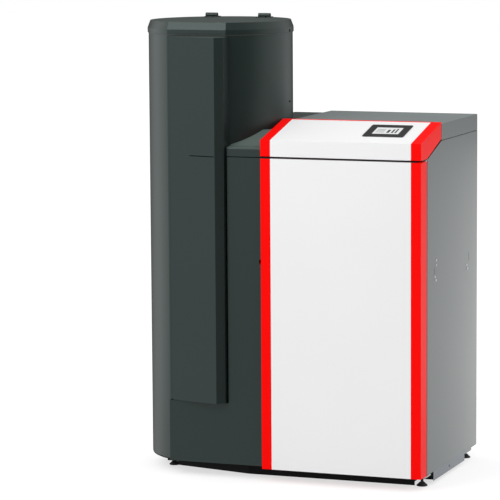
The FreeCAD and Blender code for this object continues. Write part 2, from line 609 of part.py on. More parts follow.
# Casing door
def make_door():
    line = [(0.0, DOOR_DEPTH), (0.0, 0.0), (DOOR_STRIP, 0.0), (DOOR_STRIP, DOOR_PANEL_T),
            (CASE_W - DOOR_STRIP, DOOR_PANEL_T), (CASE_W - DOOR_STRIP, 0.0), (CASE_W, 0.0),
            (CASE_W, DOOR_DEPTH)]
    tray = plan(bent(line, SHEET), PANEL_BOTTOM, DOOR_TOP)
    for z in (PANEL_BOTTOM, DOOR_TOP - SHEET):
        lip = box(SHEET, CASE_W - SHEET, DOOR_PANEL_T + SHEET, DOOR_DEPTH, z, z + SHEET)
        tray = tray.fuse(lip.cut(rod(AXIS_X, AXIS_Y, z, Z, HINGE_PIN_R + 4 * RUN_CLEAR, SHEET)))
    put("door_tray", tray.removeSplitter())
    panel_left = DOOR_STRIP + TRIM_GAP
    panel_right = CASE_W - panel_left
    panel_top = DOOR_TOP + DOOR_FLANGE_T
    panel = box(panel_left, panel_right, 0.0, DOOR_PANEL_T, PANEL_BOTTOM, panel_top)
    panel = panel.fuse(box(panel_left, panel_right, DOOR_PANEL_T, DOOR_FLANGE, DOOR_TOP, panel_top))
    put("door_panel", panel.removeSplitter())
    blocks = []
    for z in (PANEL_BOTTOM + SHEET, DOOR_TOP - SHEET - HINGE_BLOCK_H):
        block = box(CASE_W - SHEET - HINGE_BLOCK_L, CASE_W - SHEET, DOOR_DEPTH - SHEET - HINGE_BLOCK_D,
                    DOOR_DEPTH, z, z + HINGE_BLOCK_H)
        blocks.append(block.cut(rod(AXIS_X, AXIS_Y, z, Z, HINGE_PIN_R + RUN_CLEAR, HINGE_BLOCK_H)))
    put("door_hinge_bushes", *blocks)
    low_plate = box(AXIS_X - HINGE_BLOCK_L / 2, CASE_W - SHEET, AXIS_Y - HINGE_BLOCK_D / 2, FRAME_FRONT,
                    PANEL_BOTTOM - 2 * HINGE_PLATE, PANEL_BOTTOM - HINGE_PLATE)
    high_plate = box(CASE_W - SIDE_FLANGE, CASE_W - SHEET, AXIS_Y - HINGE_BLOCK_D / 2, SIDE_FRONT,
                     DOOR_TOP + SEAT_GAP, DOOR_TOP + SEAT_GAP + HINGE_PLATE)
    low_plate = low_plate.fuse(box(AXIS_X - HINGE_BLOCK_L / 2, CASE_W - SHEET, FRAME_FRONT,
                                   FRAME_FRONT + HINGE_UNDER, PANEL_BOTTOM - 2 * HINGE_PLATE,
                                   PANEL_BOTTOM - BASE_PLATE))
    low_pin = rod(AXIS_X, AXIS_Y, PANEL_BOTTOM - 2 * HINGE_PLATE, Z, HINGE_PIN_R,
                  2 * HINGE_PLATE + SHEET + HINGE_BLOCK_H)
    collar = rod(AXIS_X, AXIS_Y, PANEL_BOTTOM - HINGE_PLATE, Z, HINGE_COLLAR_R, HINGE_PLATE - SEAT_GAP)
    pin_drop = SHEET + HINGE_BLOCK_H + SEAT_GAP
    high_pin = rod(AXIS_X, AXIS_Y, DOOR_TOP + SEAT_GAP - pin_drop, Z, HINGE_PIN_R, pin_drop + HINGE_PLATE)
    low_hinge = low_plate.fuse(low_pin).fuse(collar).removeSplitter()
    put("door_hinge_pivots", low_hinge, high_plate.fuse(high_pin).removeSplitter())
    strike_z = CATCH_Z - CATCH_H / 2
    strike_top = CATCH_Z + CATCH_H / 2
    strike_back = DOOR_DEPTH - SHEET
    strike_right = SHEET + DOOR_STRIP / 2
    put("door_strike", box(SHEET, strike_right, strike_back - 2 * SHEET, strike_back, strike_z, strike_top))
    magnet_right = LEFT_INSET + SIDE_FLANGE
    put("door_magnet", box(2 * SHEET, magnet_right, strike_back + SEAT_GAP, SIDE_FRONT, strike_z, strike_top))


# Hopper shells, floor, funnel and cover
def square(half, z):
    """Square on the hopper's axis at one height."""
    spots = ((-half, -half), (half, -half), (half, half), (-half, half), (-half, -half))
    return Part.makePolygon([FreeCAD.Vector(HOPPER_X + a, HOPPER_Y + b, z) for a, b in spots])


def post(half, z0, z1):
    return Part.Face(square(half, z0)).extrude(Z * (z1 - z0))


def pyramid(high_half, low_half):
    return Part.makeLoft([square(low_half, FUNNEL_BOTTOM), square(high_half, FUNNEL_TOP)], True, True)


def make_hopper():
    shell = drum(0.0, HOPPER_BOTTOM, HOPPER_TOP).cut(drum(SHEET, HOPPER_BOTTOM, HOPPER_TOP))
    shell = shell.cut(rod(HOPPER_X, HOPPER_Y, FEED_Z, X, FEED_TUBE_R, 2 * HOPPER_R))
    ahead, behind = halves(shell, HOPPER_Y + HOPPER_SPLIT)
    put("hopper_front_shell", ahead)
    put("hopper_rear_shell", behind)
    put("hopper_floor", drum(SHEET, PANEL_BOTTOM, PANEL_BOTTOM + 2 * SHEET + HOPPER_BOTTOM - PANEL_BOTTOM))
    flange = drum(SHEET, FUNNEL_TOP - SHEET, FUNNEL_TOP)
    hollow = pyramid(FUNNEL_HALF - SHEET, SPOUT_HALF - SHEET)
    funnel = flange.cut(hollow).fuse(pyramid(FUNNEL_HALF, SPOUT_HALF).cut(hollow))
    spout = post(SPOUT_HALF, FEED_Z, FUNNEL_BOTTOM).cut(post(SPOUT_HALF - SHEET, FEED_Z, FUNNEL_BOTTOM))
    spout = spout.cut(rod(HOPPER_X - HOPPER_R, HOPPER_Y, FEED_Z, X, FEED_TUBE_R, 2 * HOPPER_R))
    put("hopper_funnel", funnel.fuse(spout).removeSplitter())
    screws = []
    for angle in (SHELL_SCREW_ANGLE, 180 - SHELL_SCREW_ANGLE):
        out = FreeCAD.Vector(math.cos(math.radians(angle)), math.sin(math.radians(angle)), 0)
        for z in (SHELL_SCREW_LOW, SHELL_SCREW_HIGH):
            at = FreeCAD.Vector(HOPPER_X, HOPPER_Y, z) + out * (HOPPER_R - SHEET)
            screw = rod(at.x, at.y, at.z, out, SCREW_R, SHEET + SCREW_HEAD)
            screws.append(screw.cut(drum(0.0, z - 2 * SCREW_R, z + 2 * SCREW_R)))
    put("shell_screws", *screws)


def cover_line():
    left = HOPPER_X - COVER_LEFT
    corner = HOPPER_X + COVER_CORNER
    right = HOPPER_X + COVER_RIGHT
    return [(left, COVER_BACK), (left, FLAT_Y - COVER_LEFT_OUT), (corner, FLAT_Y - COVER_CORNER_OUT),
            (right, FLAT_Y - COVER_RIGHT_OUT), (right, COVER_BACK)]


def make_cover():
    line = cover_line()
    cover = plan(bent(line, SHEET), COVER_BOTTOM, COVER_TOP)
    for z in (COVER_BOTTOM, COVER_TOP - SHEET):
        cover = cover.fuse(plan(line, z, z + SHEET))
    ax, ay = line[1]
    bx, by = line[2]
    length = math.hypot(bx - ax, by - ay)
    ux = (bx - ax) / length
    uy = (by - ay) / length
    end = length - COVER_SLOT_OUT
    start = end - COVER_SLOT_W
    slot = []
    for s, n in ((start, -SHEET), (end, -SHEET), (end, 2 * SHEET), (start, 2 * SHEET)):
        slot.append((ax + ux * s - uy * n, ay + uy * s + ux * n))
    cover = cover.cut(plan(slot, COVER_SLOT_Z - COVER_SLOT_H / 2, COVER_SLOT_Z + COVER_SLOT_H / 2))
    cover = cover.cut(drum(0.0, COVER_BOTTOM - CUT_PAST, COVER_TOP + CUT_PAST))
    put("hopper_cover", cover.removeSplitter())


# Hopper cap in two parts, its seal and hinges
def cap(bottom):
    """Sheet cap with a lip, a bevel all round and an inward flange along its lower edge."""
    lip_top = CAP_BOTTOM + CAP_LIP
    big = HOPPER_R + CAP_OVER
    flat = HOPPER_FLAT + CAP_OVER
    solids = []
    for t in (0.0, SHEET):
        lip = Part.Face(round_flat(big - t, flat - t, bottom)).extrude(Z * (lip_top - bottom))
        low = round_flat(big - t, flat - t, lip_top)
        high = round_flat(big - CAP_INSET - t, flat - CAP_INSET - t, CAP_TOP - t)
        solids.append(lip.fuse(Part.makeLoft([low, high], True, True)))
    skin = solids[0].cut(solids[1])
    flange = Part.Face(round_flat(big, flat, bottom)).extrude(Z * SHEET)
    hole = Part.Face(round_flat(big - CAP_FLANGE, flat - CAP_FLANGE, bottom)).extrude(Z * SHEET)
    return skin.fuse(flange.cut(hole)).removeSplitter()


def make_cap():
    ahead, behind = halves(cap(CAP_BOTTOM), CAP_AXIS_Y - CAP_SLOT)
    put("hopper_lid", ahead)
    ahead, behind = halves(cap(CAP_BOTTOM - SEAT_GAP), CAP_AXIS_Y + CAP_SLOT)
    put("hopper_rear_deck", behind)
    seal_top = HOPPER_TOP + SEAL_H
    seal = drum(-SEAL_OVER, HOPPER_TOP, seal_top).cut(drum(SEAL_W - SEAL_OVER, HOPPER_TOP, seal_top))
    put("hopper_seal", seal)
    fixed = []
    moving = []
    pins = []
    half = CAP_LEAF_W / 2
    mid = KNUCKLE_MID / 2
    room = KNUCKLE_R + KNUCKLE_LIFT
    for at in (HOPPER_X - CAP_HINGE_APART, HOPPER_X + CAP_HINGE_APART):
        whole_pin = rod(at - half, CAP_AXIS_Y, CAP_AXIS_Z, X, HINGE_PIN_R, CAP_LEAF_W)
        leaf_top = CAP_TOP + CAP_LEAF_T
        back = box(at - half, at + half, CAP_AXIS_Y + CAP_SLOT, CAP_AXIS_Y + CAP_LEAF_D, CAP_TOP, leaf_top)
        gap_l = KNUCKLE_MID + 2 * KNUCKLE_GAP
        back = back.cut(rod(at - mid - KNUCKLE_GAP, CAP_AXIS_Y, CAP_AXIS_Z, X, room, gap_l))
        side_l = half - mid - KNUCKLE_GAP
        for x in (at - half, at + mid + KNUCKLE_GAP):
            back = back.fuse(rod(x, CAP_AXIS_Y, CAP_AXIS_Z, X, KNUCKLE_R, side_l))
        fixed.append(back.cut(whole_pin).removeSplitter())
        leaf = box(at - half, at + half, CAP_AXIS_Y - CAP_LEAF_D, CAP_AXIS_Y - CAP_SLOT, CAP_TOP, leaf_top)
        for x in (at - half, at + mid):
            leaf = leaf.cut(rod(x, CAP_AXIS_Y, CAP_AXIS_Z, X, room, half - mid))
        knuckle = rod(at - mid, CAP_AXIS_Y, CAP_AXIS_Z, X, KNUCKLE_R, KNUCKLE_MID)
        bore = rod(at - half, CAP_AXIS_Y, CAP_AXIS_Z, X, HINGE_PIN_R + RUN_CLEAR, CAP_LEAF_W)
        moving.append(leaf.fuse(knuckle).cut(bore).removeSplitter())
        pins.append(whole_pin)
    put("lid_hinge_back_leaves", *fixed)
    put("lid_hinge_front_leaves", *moving)
    put("lid_hinge_pins", *pins)


# Feed screw, its tube and drive
def flight_section(start, i):
    """Section of the screw's flight at one step round the shaft."""
    turn = 2 * math.pi * i / FLIGHT_STEPS
    x = start + FLIGHT_PITCH * i / FLIGHT_STEPS
    across = FreeCAD.Vector(0, math.cos(turn), math.sin(turn))
    middle = FreeCAD.Vector(x, HOPPER_Y, FEED_Z)
    inner = middle + across * (FEED_SHAFT_R - FLIGHT_T / 2)
    outer = middle + across * FLIGHT_R
    half = X * (FLIGHT_T / 2)
    return Part.makePolygon([inner - half, outer - half, outer + half, inner + half, inner - half])


def make_feed():
    bore_r = FEED_TUBE_R - FEED_TUBE_T
    tube = pipe(FEED_LEFT, HOPPER_Y, FEED_Z, X, FEED_TUBE_R, bore_r, FEED_RIGHT - FEED_LEFT)
    tube = tube.cut(post(SPOUT_HALF - SHEET, FEED_Z, FEED_Z + 2 * FEED_TUBE_R))
    put("feed_tube", tube)
    plate = rod(FEED_LEFT - BEARING_T, HOPPER_Y, FEED_Z, X, FEED_TUBE_R, BEARING_T)
    shaft_start = FEED_LEFT - BEARING_T
    put("feed_bearing", plate.cut(rod(shaft_start, HOPPER_Y, FEED_Z, X, FEED_SHAFT_R + RUN_CLEAR, BEARING_T)))
    length = FLIGHT_PITCH * FLIGHT_TURNS
    shaft = rod(shaft_start, HOPPER_Y, FEED_Z, X, FEED_SHAFT_R, BEARING_T + FLIGHT_START + length + FLIGHT_T)
    sections = []
    for i in range(FLIGHT_TURNS * FLIGHT_STEPS + 1):
        sections.append(flight_section(FEED_LEFT + FLIGHT_START, i))
    flight = Part.makeLoft(sections, True, True)
    put("feed_auger", shaft.fuse(flight))
    gear_right = shaft_start - SEAT_GAP
    gear = box(gear_right - GEARBOX, gear_right, HOPPER_Y - GEARBOX / 2, HOPPER_Y + GEARBOX / 2,
               HOPPER_BOTTOM + 2 * SHEET, FEED_Z + GEARBOX / 2)
    motor = rod(gear_right - GEARBOX / 2, HOPPER_Y + GEARBOX / 2, FEED_Z, Y, MOTOR_R, MOTOR_L)
    put("auger_gearmotor", gear.fuse(motor).removeSplitter())


# Boiler body with its fire door, ash box and burner
def make_body():
    body = box(BODY_LEFT, BODY_RIGHT, BODY_FRONT, BODY_BACK, BODY_BOTTOM, BODY_TOP)
    w = BODY_WALL
    body = body.cut(box(BODY_LEFT + w, BODY_RIGHT - w, BODY_FRONT + w, BODY_BACK - w,
                        BODY_BOTTOM + w, BODY_TOP - w))
    collar = box(FIRE_LEFT - w, FIRE_RIGHT + w, INNER_BACK, BODY_FRONT, FIRE_BOTTOM - w, FIRE_TOP + w)
    body = body.fuse(collar)
    body = body.cut(box(FIRE_LEFT, FIRE_RIGHT, INNER_BACK, BODY_FRONT + w, FIRE_BOTTOM, FIRE_TOP))
    for x in (BODY_LEFT, BODY_RIGHT - LEG):
        for y in (BODY_FRONT, BODY_BACK - LEG):
            body = body.fuse(box(x, x + LEG, y, y + LEG, PANEL_BOTTOM, BODY_BOTTOM))
    feed_hole = rod(BODY_LEFT - LAGGING, HOPPER_Y, FEED_Z, X, FEED_TUBE_R, LAGGING + w)
    rear_holes = []
    for x, z, r in ((FAN_X, FAN_Z, SMOKE_HOLE_R), (PIPE_X, FLOW_Z, PIPE_R), (PIPE_X, RETURN_Z, PIPE_R),
                    (DRAIN_X, DRAIN_Z, DRAIN_R)):
        rear_holes.append(rod(x, BODY_BACK - w, z, Y, r, w + LAGGING))
    for hole in rear_holes + [feed_hole]:
        body = body.cut(hole)
    put("boiler_body", body.removeSplitter())
    lag = box(BODY_LEFT - LAGGING, BODY_RIGHT + LAGGING, BODY_FRONT, BODY_BACK + LAGGING,
              BODY_BOTTOM, BODY_TOP + LAGGING)
    lag = lag.cut(box(BODY_LEFT, BODY_RIGHT, BODY_FRONT, BODY_BACK, BODY_BOTTOM, BODY_TOP))
    for hole in rear_holes + [feed_hole]:
        lag = lag.cut(hole)
    put("boiler_lagging", lag)
    plates = []
    for z in (TUBE_BOTTOM, TUBE_TOP - TUBE_PLATE):
        plates.append(box(BODY_LEFT + w, BODY_RIGHT - w, BODY_FRONT + w, BODY_BACK - w, z, z + TUBE_PLATE))
    bundle = plates[0].fuse(plates[1])
    step_x = (BODY_RIGHT - BODY_LEFT) / (TUBE_COLS + 1)
    step_y = (BODY_BACK - BODY_FRONT) / (TUBE_ROWS + 1)
    bores = []
    for i in range(TUBE_COLS):
        for j in range(TUBE_ROWS):
            x = BODY_LEFT + step_x * (i + 1)
            y = BODY_FRONT + step_y * (j + 1)
            bundle = bundle.fuse(rod(x, y, TUBE_BOTTOM, Z, TUBE_R, TUBE_TOP - TUBE_BOTTOM))
            bores.append(rod(x, y, TUBE_BOTTOM, Z, TUBE_R - TUBE_WALL, TUBE_TOP - TUBE_BOTTOM))
    put("heat_exchanger", bundle.cut(Part.makeCompound(bores)))
    over = FIRE_DOOR_OVER
    door = box(FIRE_LEFT - over, FIRE_RIGHT + over, INNER_Y - FIRE_DOOR_T, INNER_Y,
               FIRE_BOTTOM - over, FIRE_TOP + over)
    upright = [e for e in door.Edges if abs(e.Length - FIRE_DOOR_T) < NEAR]
    put("fire_door", door.makeFillet(over, upright))
    handle_x = FIRE_LEFT + over
    handle_z = 0.5 * (FIRE_BOTTOM + FIRE_TOP)
    grip_y = INNER_Y - FIRE_DOOR_T - HANDLE_OUT
    handle = rod(handle_x, grip_y, handle_z - HANDLE_L / 2, Z, HANDLE_R, HANDLE_L)
    for z in (handle_z - HANDLE_L / 3, handle_z + HANDLE_L / 3):
        handle = handle.fuse(rod(handle_x, grip_y, z, Y, HANDLE_STEM_R, HANDLE_OUT))
    put("fire_door_handle", handle)
    ash_left = FIRE_LEFT + ASH_GAP
    ash_right = FIRE_RIGHT - ASH_GAP
    ash_back = BODY_BACK - 4 * LEG
    ash_top = FIRE_BOTTOM + ASH_H
    ash = box(ash_left, ash_right, BODY_FRONT, ash_back, FIRE_BOTTOM, ash_top)
    hollow = box(ash_left + ASH_WALL, ash_right - ASH_WALL, BODY_FRONT + ASH_WALL, ash_back - ASH_WALL,
                 FIRE_BOTTOM + ASH_WALL, ash_top)
    put("ash_box", ash.cut(hollow))
    pot_x = FEED_RIGHT + POT_R
    pot_top = FEED_Z - FEED_TUBE_R
    pot = rod(pot_x, HOPPER_Y, pot_top - POT_H, Z, POT_R, POT_H)
    pot = pot.cut(rod(pot_x, HOPPER_Y, pot_top - POT_H + POT_WALL, Z, POT_R - POT_WALL, POT_H))
    deck = box(BODY_LEFT + w, BODY_RIGHT - w, BODY_FRONT + w, BODY_BACK - w, pot_top - POT_WALL, pot_top)
    deck = deck.cut(rod(pot_x, HOPPER_Y, pot_top - POT_H, Z, POT_R - POT_WALL, 2 * POT_H))
    put("burner_pot", pot.fuse(deck).removeSplitter())


# Draught fan and flue at the back
def make_fan():
    y0 = BODY_BACK + LAGGING
    half = SMOKE_W / 2
    smoke = box(FAN_X - half, FAN_X + half, y0, FAN_FRONT, FAN_Z - half, FAN_Z + half)
    smoke = smoke.cut(rod(FAN_X, y0, FAN_Z, Y, SMOKE_HOLE_R, SMOKE_BOX_D))
    put("smoke_box", smoke)
    duct_right = FLUE_X + FLUE_R + FAN_WALL
    low = FAN_Z - FLUE_R - FAN_WALL
    high = FAN_Z + FLUE_R + FAN_WALL
    housing = rod(FAN_X, FAN_FRONT, FAN_Z, Y, FAN_R, FAN_D)
    housing = housing.fuse(box(FAN_X, duct_right, FAN_FRONT, FAN_BACK, low, high))
    t = FAN_WALL
    hollow = rod(FAN_X, FAN_FRONT + t, FAN_Z, Y, FAN_R - t, FAN_D - 2 * t)
    hollow = hollow.fuse(box(FAN_X, duct_right - t, FAN_FRONT + t, FAN_BACK - t, low + t, high - t))
    housing = housing.cut(hollow)
    housing = housing.cut(rod(FAN_X, FAN_FRONT, FAN_Z, Y, SMOKE_HOLE_R, t))
    housing = housing.cut(rod(FLUE_X, FAN_BACK - t, FAN_Z, Y, FLUE_R - FLUE_T, t))
    housing = housing.cut(rod(FAN_X, FAN_BACK - t, FAN_Z, Y, FAN_SHAFT_R + RUN_CLEAR, t))
    put("fan_housing", housing.removeSplitter())
    gap = (FAN_D - 2 * t - WHEEL_D) / 2
    wheel_y = FAN_FRONT + t + gap
    wheel = rod(FAN_X, wheel_y + WHEEL_D - t, FAN_Z, Y, WHEEL_R, t)
    hub_y = wheel_y + WHEEL_D / 2
    wheel = wheel.fuse(rod(FAN_X, hub_y, FAN_Z, Y, WHEEL_HUB_R, WHEEL_D / 2))
    shaft_end = FAN_BACK + FAN_MOTOR_L / 4
    wheel = wheel.fuse(rod(FAN_X, hub_y, FAN_Z, Y, FAN_SHAFT_R, shaft_end - hub_y))
    for i in range(WHEEL_BLADES):
        blade = box(FAN_X - BLADE_T / 2, FAN_X + BLADE_T / 2, wheel_y, wheel_y + WHEEL_D,
                    FAN_Z + SMOKE_HOLE_R, FAN_Z + WHEEL_R)
        blade.rotate(FreeCAD.Vector(FAN_X, wheel_y, FAN_Z), Y, 360.0 * i / WHEEL_BLADES)
        wheel = wheel.fuse(blade)
    put("fan_wheel", wheel.removeSplitter())
    motor = rod(FAN_X, FAN_BACK, FAN_Z, Y, FAN_MOTOR_R, FAN_MOTOR_L)
    put("fan_motor", motor.cut(rod(FAN_X, FAN_BACK, FAN_Z, Y, FAN_SHAFT_R + RUN_CLEAR, FAN_MOTOR_L / 2)))
    spigot = rod(FLUE_X, FAN_BACK, FAN_Z, Y, FLUE_R, FLUE_END - FAN_BACK)
    spigot = spigot.fuse(rod(FLUE_X, CASE_BACK, FAN_Z, Y, FLUE_R + FLUE_BEAD, FLUE_BEAD_T))
    put("flue_spigot", spigot.cut(rod(FLUE_X, FAN_BACK, FAN_Z, Y, FLUE_R - FLUE_T, FLUE_END - FAN_BACK)))


# Water and cable connections at the back
def make_connections():
    for name, z in (("flow_connection", FLOW_Z), ("return_connection", RETURN_Z)):
        start = BODY_BACK - BODY_WALL
        stub = pipe(PIPE_X, start, z, Y, PIPE_R, PIPE_BORE_R, CASE_BACK + PIPE_OUT - start)
        nut = hexagon(PIPE_X, CASE_BACK, z, NUT_R).extrude(Y * NUT_T)
        nut = nut.cut(rod(PIPE_X, CASE_BACK, z, Y, PIPE_BORE_R, NUT_T))
        put(name, stub.fuse(nut).removeSplitter())
    start = BODY_BACK - BODY_WALL
    drain = rod(DRAIN_X, start, DRAIN_Z, Y, DRAIN_R, CASE_BACK + PIPE_OUT - start)
    head = rod(DRAIN_X, CASE_BACK + PIPE_OUT / 2, DRAIN_Z, Y, DRAIN_HEAD_R, PIPE_OUT / 2)
    put("drain_valve", drain.fuse(head))
    gland_y = CASE_BACK - 4 * SHEET
    gland_l = GLAND_OUT + 4 * SHEET
    nut = hexagon(GLAND_X, CASE_BACK, GLAND_Z, GLAND_NUT_R).extrude(Y * (NUT_T / 2))
    gland = rod(GLAND_X, gland_y, GLAND_Z, Y, GLAND_R, gland_l).fuse(nut)
    gland = gland.cut(rod(GLAND_X, gland_y, GLAND_Z, Y, GLAND_R / 2, gland_l))
    put("cable_gland", gland.removeSplitter())


def hexagon(x, y, z, r):
    corners = []
    for i in range(7):
        a = math.radians(60 * i)
        corners.append(FreeCAD.Vector(x + r * math.cos(a), y, z + r * math.sin(a)))
    return Part.Face(Part.makePolygon(corners))


# Main switch and safety thermostat behind the door
def make_switches():
    half_w = SWITCH_W / 2
    half_h = SWITCH_H / 2
    edge = SWITCH_FRAME
    face_y = INNER_Y - SWITCH_PROUD
    frame = box(SWITCH_X - half_w, SWITCH_X + half_w, face_y, INNER_Y + SWITCH_DEEP,
                SWITCH_Z - half_h, SWITCH_Z + half_h)
    frame = frame.fuse(box(SWITCH_X - half_w - edge, SWITCH_X + half_w + edge, face_y, INNER_Y,
                           SWITCH_Z - half_h - edge, SWITCH_Z + half_h + edge))
    well = box(SWITCH_X - half_w + edge, SWITCH_X + half_w - edge, face_y,
               INNER_Y + SWITCH_DEEP - SWITCH_PROUD, SWITCH_Z - half_h + edge, SWITCH_Z + half_h - edge)
    frame = frame.cut(well)
    pin_r = HINGE_PIN_R / 2
    pin_y = INNER_Y + SWITCH_DEEP / 2
    frame = frame.cut(rod(SWITCH_X - half_w, pin_y, SWITCH_Z, X, pin_r + RUN_CLEAR, SWITCH_W))
    put("switch_frame", frame.removeSplitter())
    reach = half_h - edge - ROCKER_CLEAR
    out_low = INNER_Y - ROCKER_OUT_LOW
    out_high = INNER_Y - ROCKER_OUT_HIGH
    outline = [(pin_y + pin_r, SWITCH_Z - pin_r), (out_low + ROCKER_T, SWITCH_Z - reach),
               (out_low, SWITCH_Z - reach), (INNER_Y - ROCKER_OUT_MID, SWITCH_Z),
               (out_high, SWITCH_Z + reach), (out_high + ROCKER_T, SWITCH_Z + reach),
               (pin_y + pin_r, SWITCH_Z + pin_r)]
    rocker = side(outline, SWITCH_X - half_w + edge + ROCKER_GAP, SWITCH_X + half_w - edge - ROCKER_GAP)
    short = ROCKER_PIN_SHORT
    rocker = rocker.fuse(rod(SWITCH_X - half_w + short, pin_y, SWITCH_Z, X, pin_r, SWITCH_W - 2 * short))
    put("switch_rocker", rocker.removeSplitter())
    put("safety_thermostat", rod(STAT_X, INNER_Y - STAT_OUT, SWITCH_Z, Y, STAT_R, STAT_OUT))


os.makedirs("parts", exist_ok=True)
make_base()
make_casing()
make_front()
make_console()
make_boiler_lid()
make_door()
make_hopper()
make_cover()
make_cap()
make_feed()
make_body()
make_fan()
make_connections()
make_switches()
print("origin shift", MID_X, MID_Y, "door axis", AXIS_X - MID_X, AXIS_Y - MID_Y)
print("cap axis", CAP_AXIS_Y - MID_Y, CAP_AXIS_Z, "feed axis", HOPPER_Y - MID_Y, FEED_Z)
print("fan axis", FAN_X - MID_X, FAN_Z)
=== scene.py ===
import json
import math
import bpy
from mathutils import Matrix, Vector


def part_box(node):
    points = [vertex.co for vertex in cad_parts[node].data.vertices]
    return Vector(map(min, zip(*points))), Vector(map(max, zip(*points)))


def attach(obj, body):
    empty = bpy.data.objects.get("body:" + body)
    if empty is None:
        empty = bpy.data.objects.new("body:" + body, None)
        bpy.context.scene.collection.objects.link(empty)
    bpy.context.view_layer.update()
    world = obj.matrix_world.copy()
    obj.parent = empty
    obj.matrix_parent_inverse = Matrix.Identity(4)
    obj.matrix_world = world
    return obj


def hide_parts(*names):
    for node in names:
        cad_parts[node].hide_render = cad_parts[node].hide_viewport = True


bl_info = {
    "name": "Pellet boiler",
    "version": (1, 0, 0),
    "blender": (4, 5, 0),
    "location": "View3D > Sidebar > Boiler",
    "description": "Dresses the packed pellet boiler: rounded sheets, screws, feet, display and finishes",
    "category": "Object",
}

import bmesh
import bpy
from mathutils import Matrix, Vector

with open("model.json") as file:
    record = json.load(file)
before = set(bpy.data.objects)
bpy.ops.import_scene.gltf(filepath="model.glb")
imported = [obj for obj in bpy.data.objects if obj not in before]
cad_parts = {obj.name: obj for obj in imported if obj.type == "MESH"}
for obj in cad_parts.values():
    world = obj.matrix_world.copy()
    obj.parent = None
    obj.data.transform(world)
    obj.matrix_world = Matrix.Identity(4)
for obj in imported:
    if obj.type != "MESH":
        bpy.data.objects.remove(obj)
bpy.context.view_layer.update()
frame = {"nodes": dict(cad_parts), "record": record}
NODES = frame["nodes"]
RECORD = frame["record"]
BODY_OF = {}
for body_name, members in RECORD["behaviour"]["bodies"].items():
    for member in members:
        BODY_OF[member] = body_name
SLOT_OF = {}
for row in RECORD["subparts"]:
    SLOT_OF[row["node"]] = row["material_slot"]

MM = 0.001
UP = Vector((0, 0, 1))
WHITE = (1.0, 1.0, 1.0)

# How a node's mesh is cleaned, and which of its edges are rounded
MERGE_DISTANCE = 0.00001
FLAT_ANGLE = math.radians(0.2)
SHARP_ANGLE = math.radians(12.0)
SHADE_ANGLE = math.radians(30.0)
RIM_WIDTH = 4.0 * MM
SMALLEST_PERIMETER = 1e-9
WEIGHT_LAYER = "bevel_weight_edge"
FOLD_STEPS = 3

# Roundings that differ from the usual ones, the inner edges' share of them, and the hopper cover's in folds
THIN_EDGE = 0.5 * MM
BEZEL_EDGE = 0.9 * MM
SCREEN_EDGE = 0.3 * MM
CASTING_EDGE = 3.0 * MM
INNER_EDGE_SHARE = 0.4
COVER_FOLDS = 2.0

# Screw heads, in head heights: level of the upper edges above the middle, their rounding, and the depth sunk
HEAD_SIDES = 32
SOCKET_SIDES = 6
HEAD_UPPER_SHARE = 0.4
HEAD_ROUND_SHARE = 0.55
HEAD_STEPS = 4
SHELL_SCREW_SINK_SHARE = 0.5

# Hinge leaves of the hopper's lid: node, name of its screws, and whether these sit near its front end
LEAF_SCREWS = (
    ("lid_hinge_front_leaves", "front_leaf_screws", True),
    ("lid_hinge_back_leaves", "back_leaf_screws", False),
)
LEAF_END = 8.0 * MM
LEAF_SIDE = 9.0 * MM
LEAF_THICKNESS = 3.0 * MM
LOW_HEAD_SHARE = 0.6
WIDE_SOCKET_SHARE = 0.55
PIN_HEAD_SHARE = 1.4

# Screws in the cap's lip: turns round the hopper in degrees, head size, height above the lip and depth in it
RIM_SCREW_TURNS = (0.8, 171.0)
RIM_SCREW_SHARE = 1.25
RIM_SCREW_RISE = 5.6 * MM
RIM_SCREW_SINK = 0.2 * MM

# Foam strip on the door's upper lip; its black also fills the slit under the console as painted shade
SEAL_LEFT = 3.0 * MM
SEAL_FRONT = 4.0 * MM
SEAL_SHORTER = 24.0 * MM
SEAL_DEPTH = 52.0 * MM
SEAL_THICKNESS = 2.6 * MM
SEAL_EDGE = 1.0 * MM
SEAL_STEPS = 3

# Levelling foot from the floor up: size that sets the radius, share of it, extra in mm, height in mm
FOOT_PROFILE = (
    ("foot", 1.0, -1.2, 0.0),
    ("foot", 1.0, 0.0, 0.8),
    ("foot", 1.0, 0.0, 3.0),
    ("foot", 1.0, -1.5, 4.5),
    ("stud", 1.7, 0.0, 14.0),
    ("stud", 1.25, 0.0, 15.5),
    ("stud", 1.0, 0.0, 16.0),
)
FOOT_SIDES = 40
NUT_SIDES = 6
NUT_SHARE = 1.8
NUT_HEIGHT = 5.0 * MM
NUT_EDGE = 0.7 * MM
NUT_STEPS = 2

# Display on the console's slope; its marks: name, ink, and left, bottom, width and height in screen shares
CONSOLE_RISE = 58.0
CONSOLE_RUN = 242.0
SLOPE = math.atan2(CONSOLE_RISE, CONSOLE_RUN)
SCREEN_HEIGHT = 73.0 * MM
SCREEN_THICKNESS = 5.5 * MM
MARK_THICKNESS = 0.3 * MM
MARK_EDGE = 0.1 * MM
MARK_LIFT = 0.1 * MM
MARK_STEPS = 2
SCREEN_MARKS = (
    ("display_lines", "screen_pale_ink", (
        (0.08, 0.24, 0.32, 0.10),
        (0.08, 0.44, 0.32, 0.10),
        (0.08, 0.64, 0.32, 0.10),
    )),
    ("display_bars", "screen_ink", (
        (0.50, 0.20, 0.10, 0.46),
        (0.68, 0.20, 0.07, 0.54),
        (0.81, 0.20, 0.06, 0.64),
    )),
)

# Nodes with a finish of their own: two covers have painted top light on their upward faces, and the hopper's
# seal is grey
FINISH_OF = {
    "hopper_top_cover": "top_lit_grey_paint",
    "boiler_lid": "top_lit_side_grey_paint",
    "hopper_seal": "grey_rubber",
}

# Places of the colour sockets on a mix node
MIX_FACTOR = 0
MIX_LOW = 6
MIX_HIGH = 7
MIX_RESULT = 2
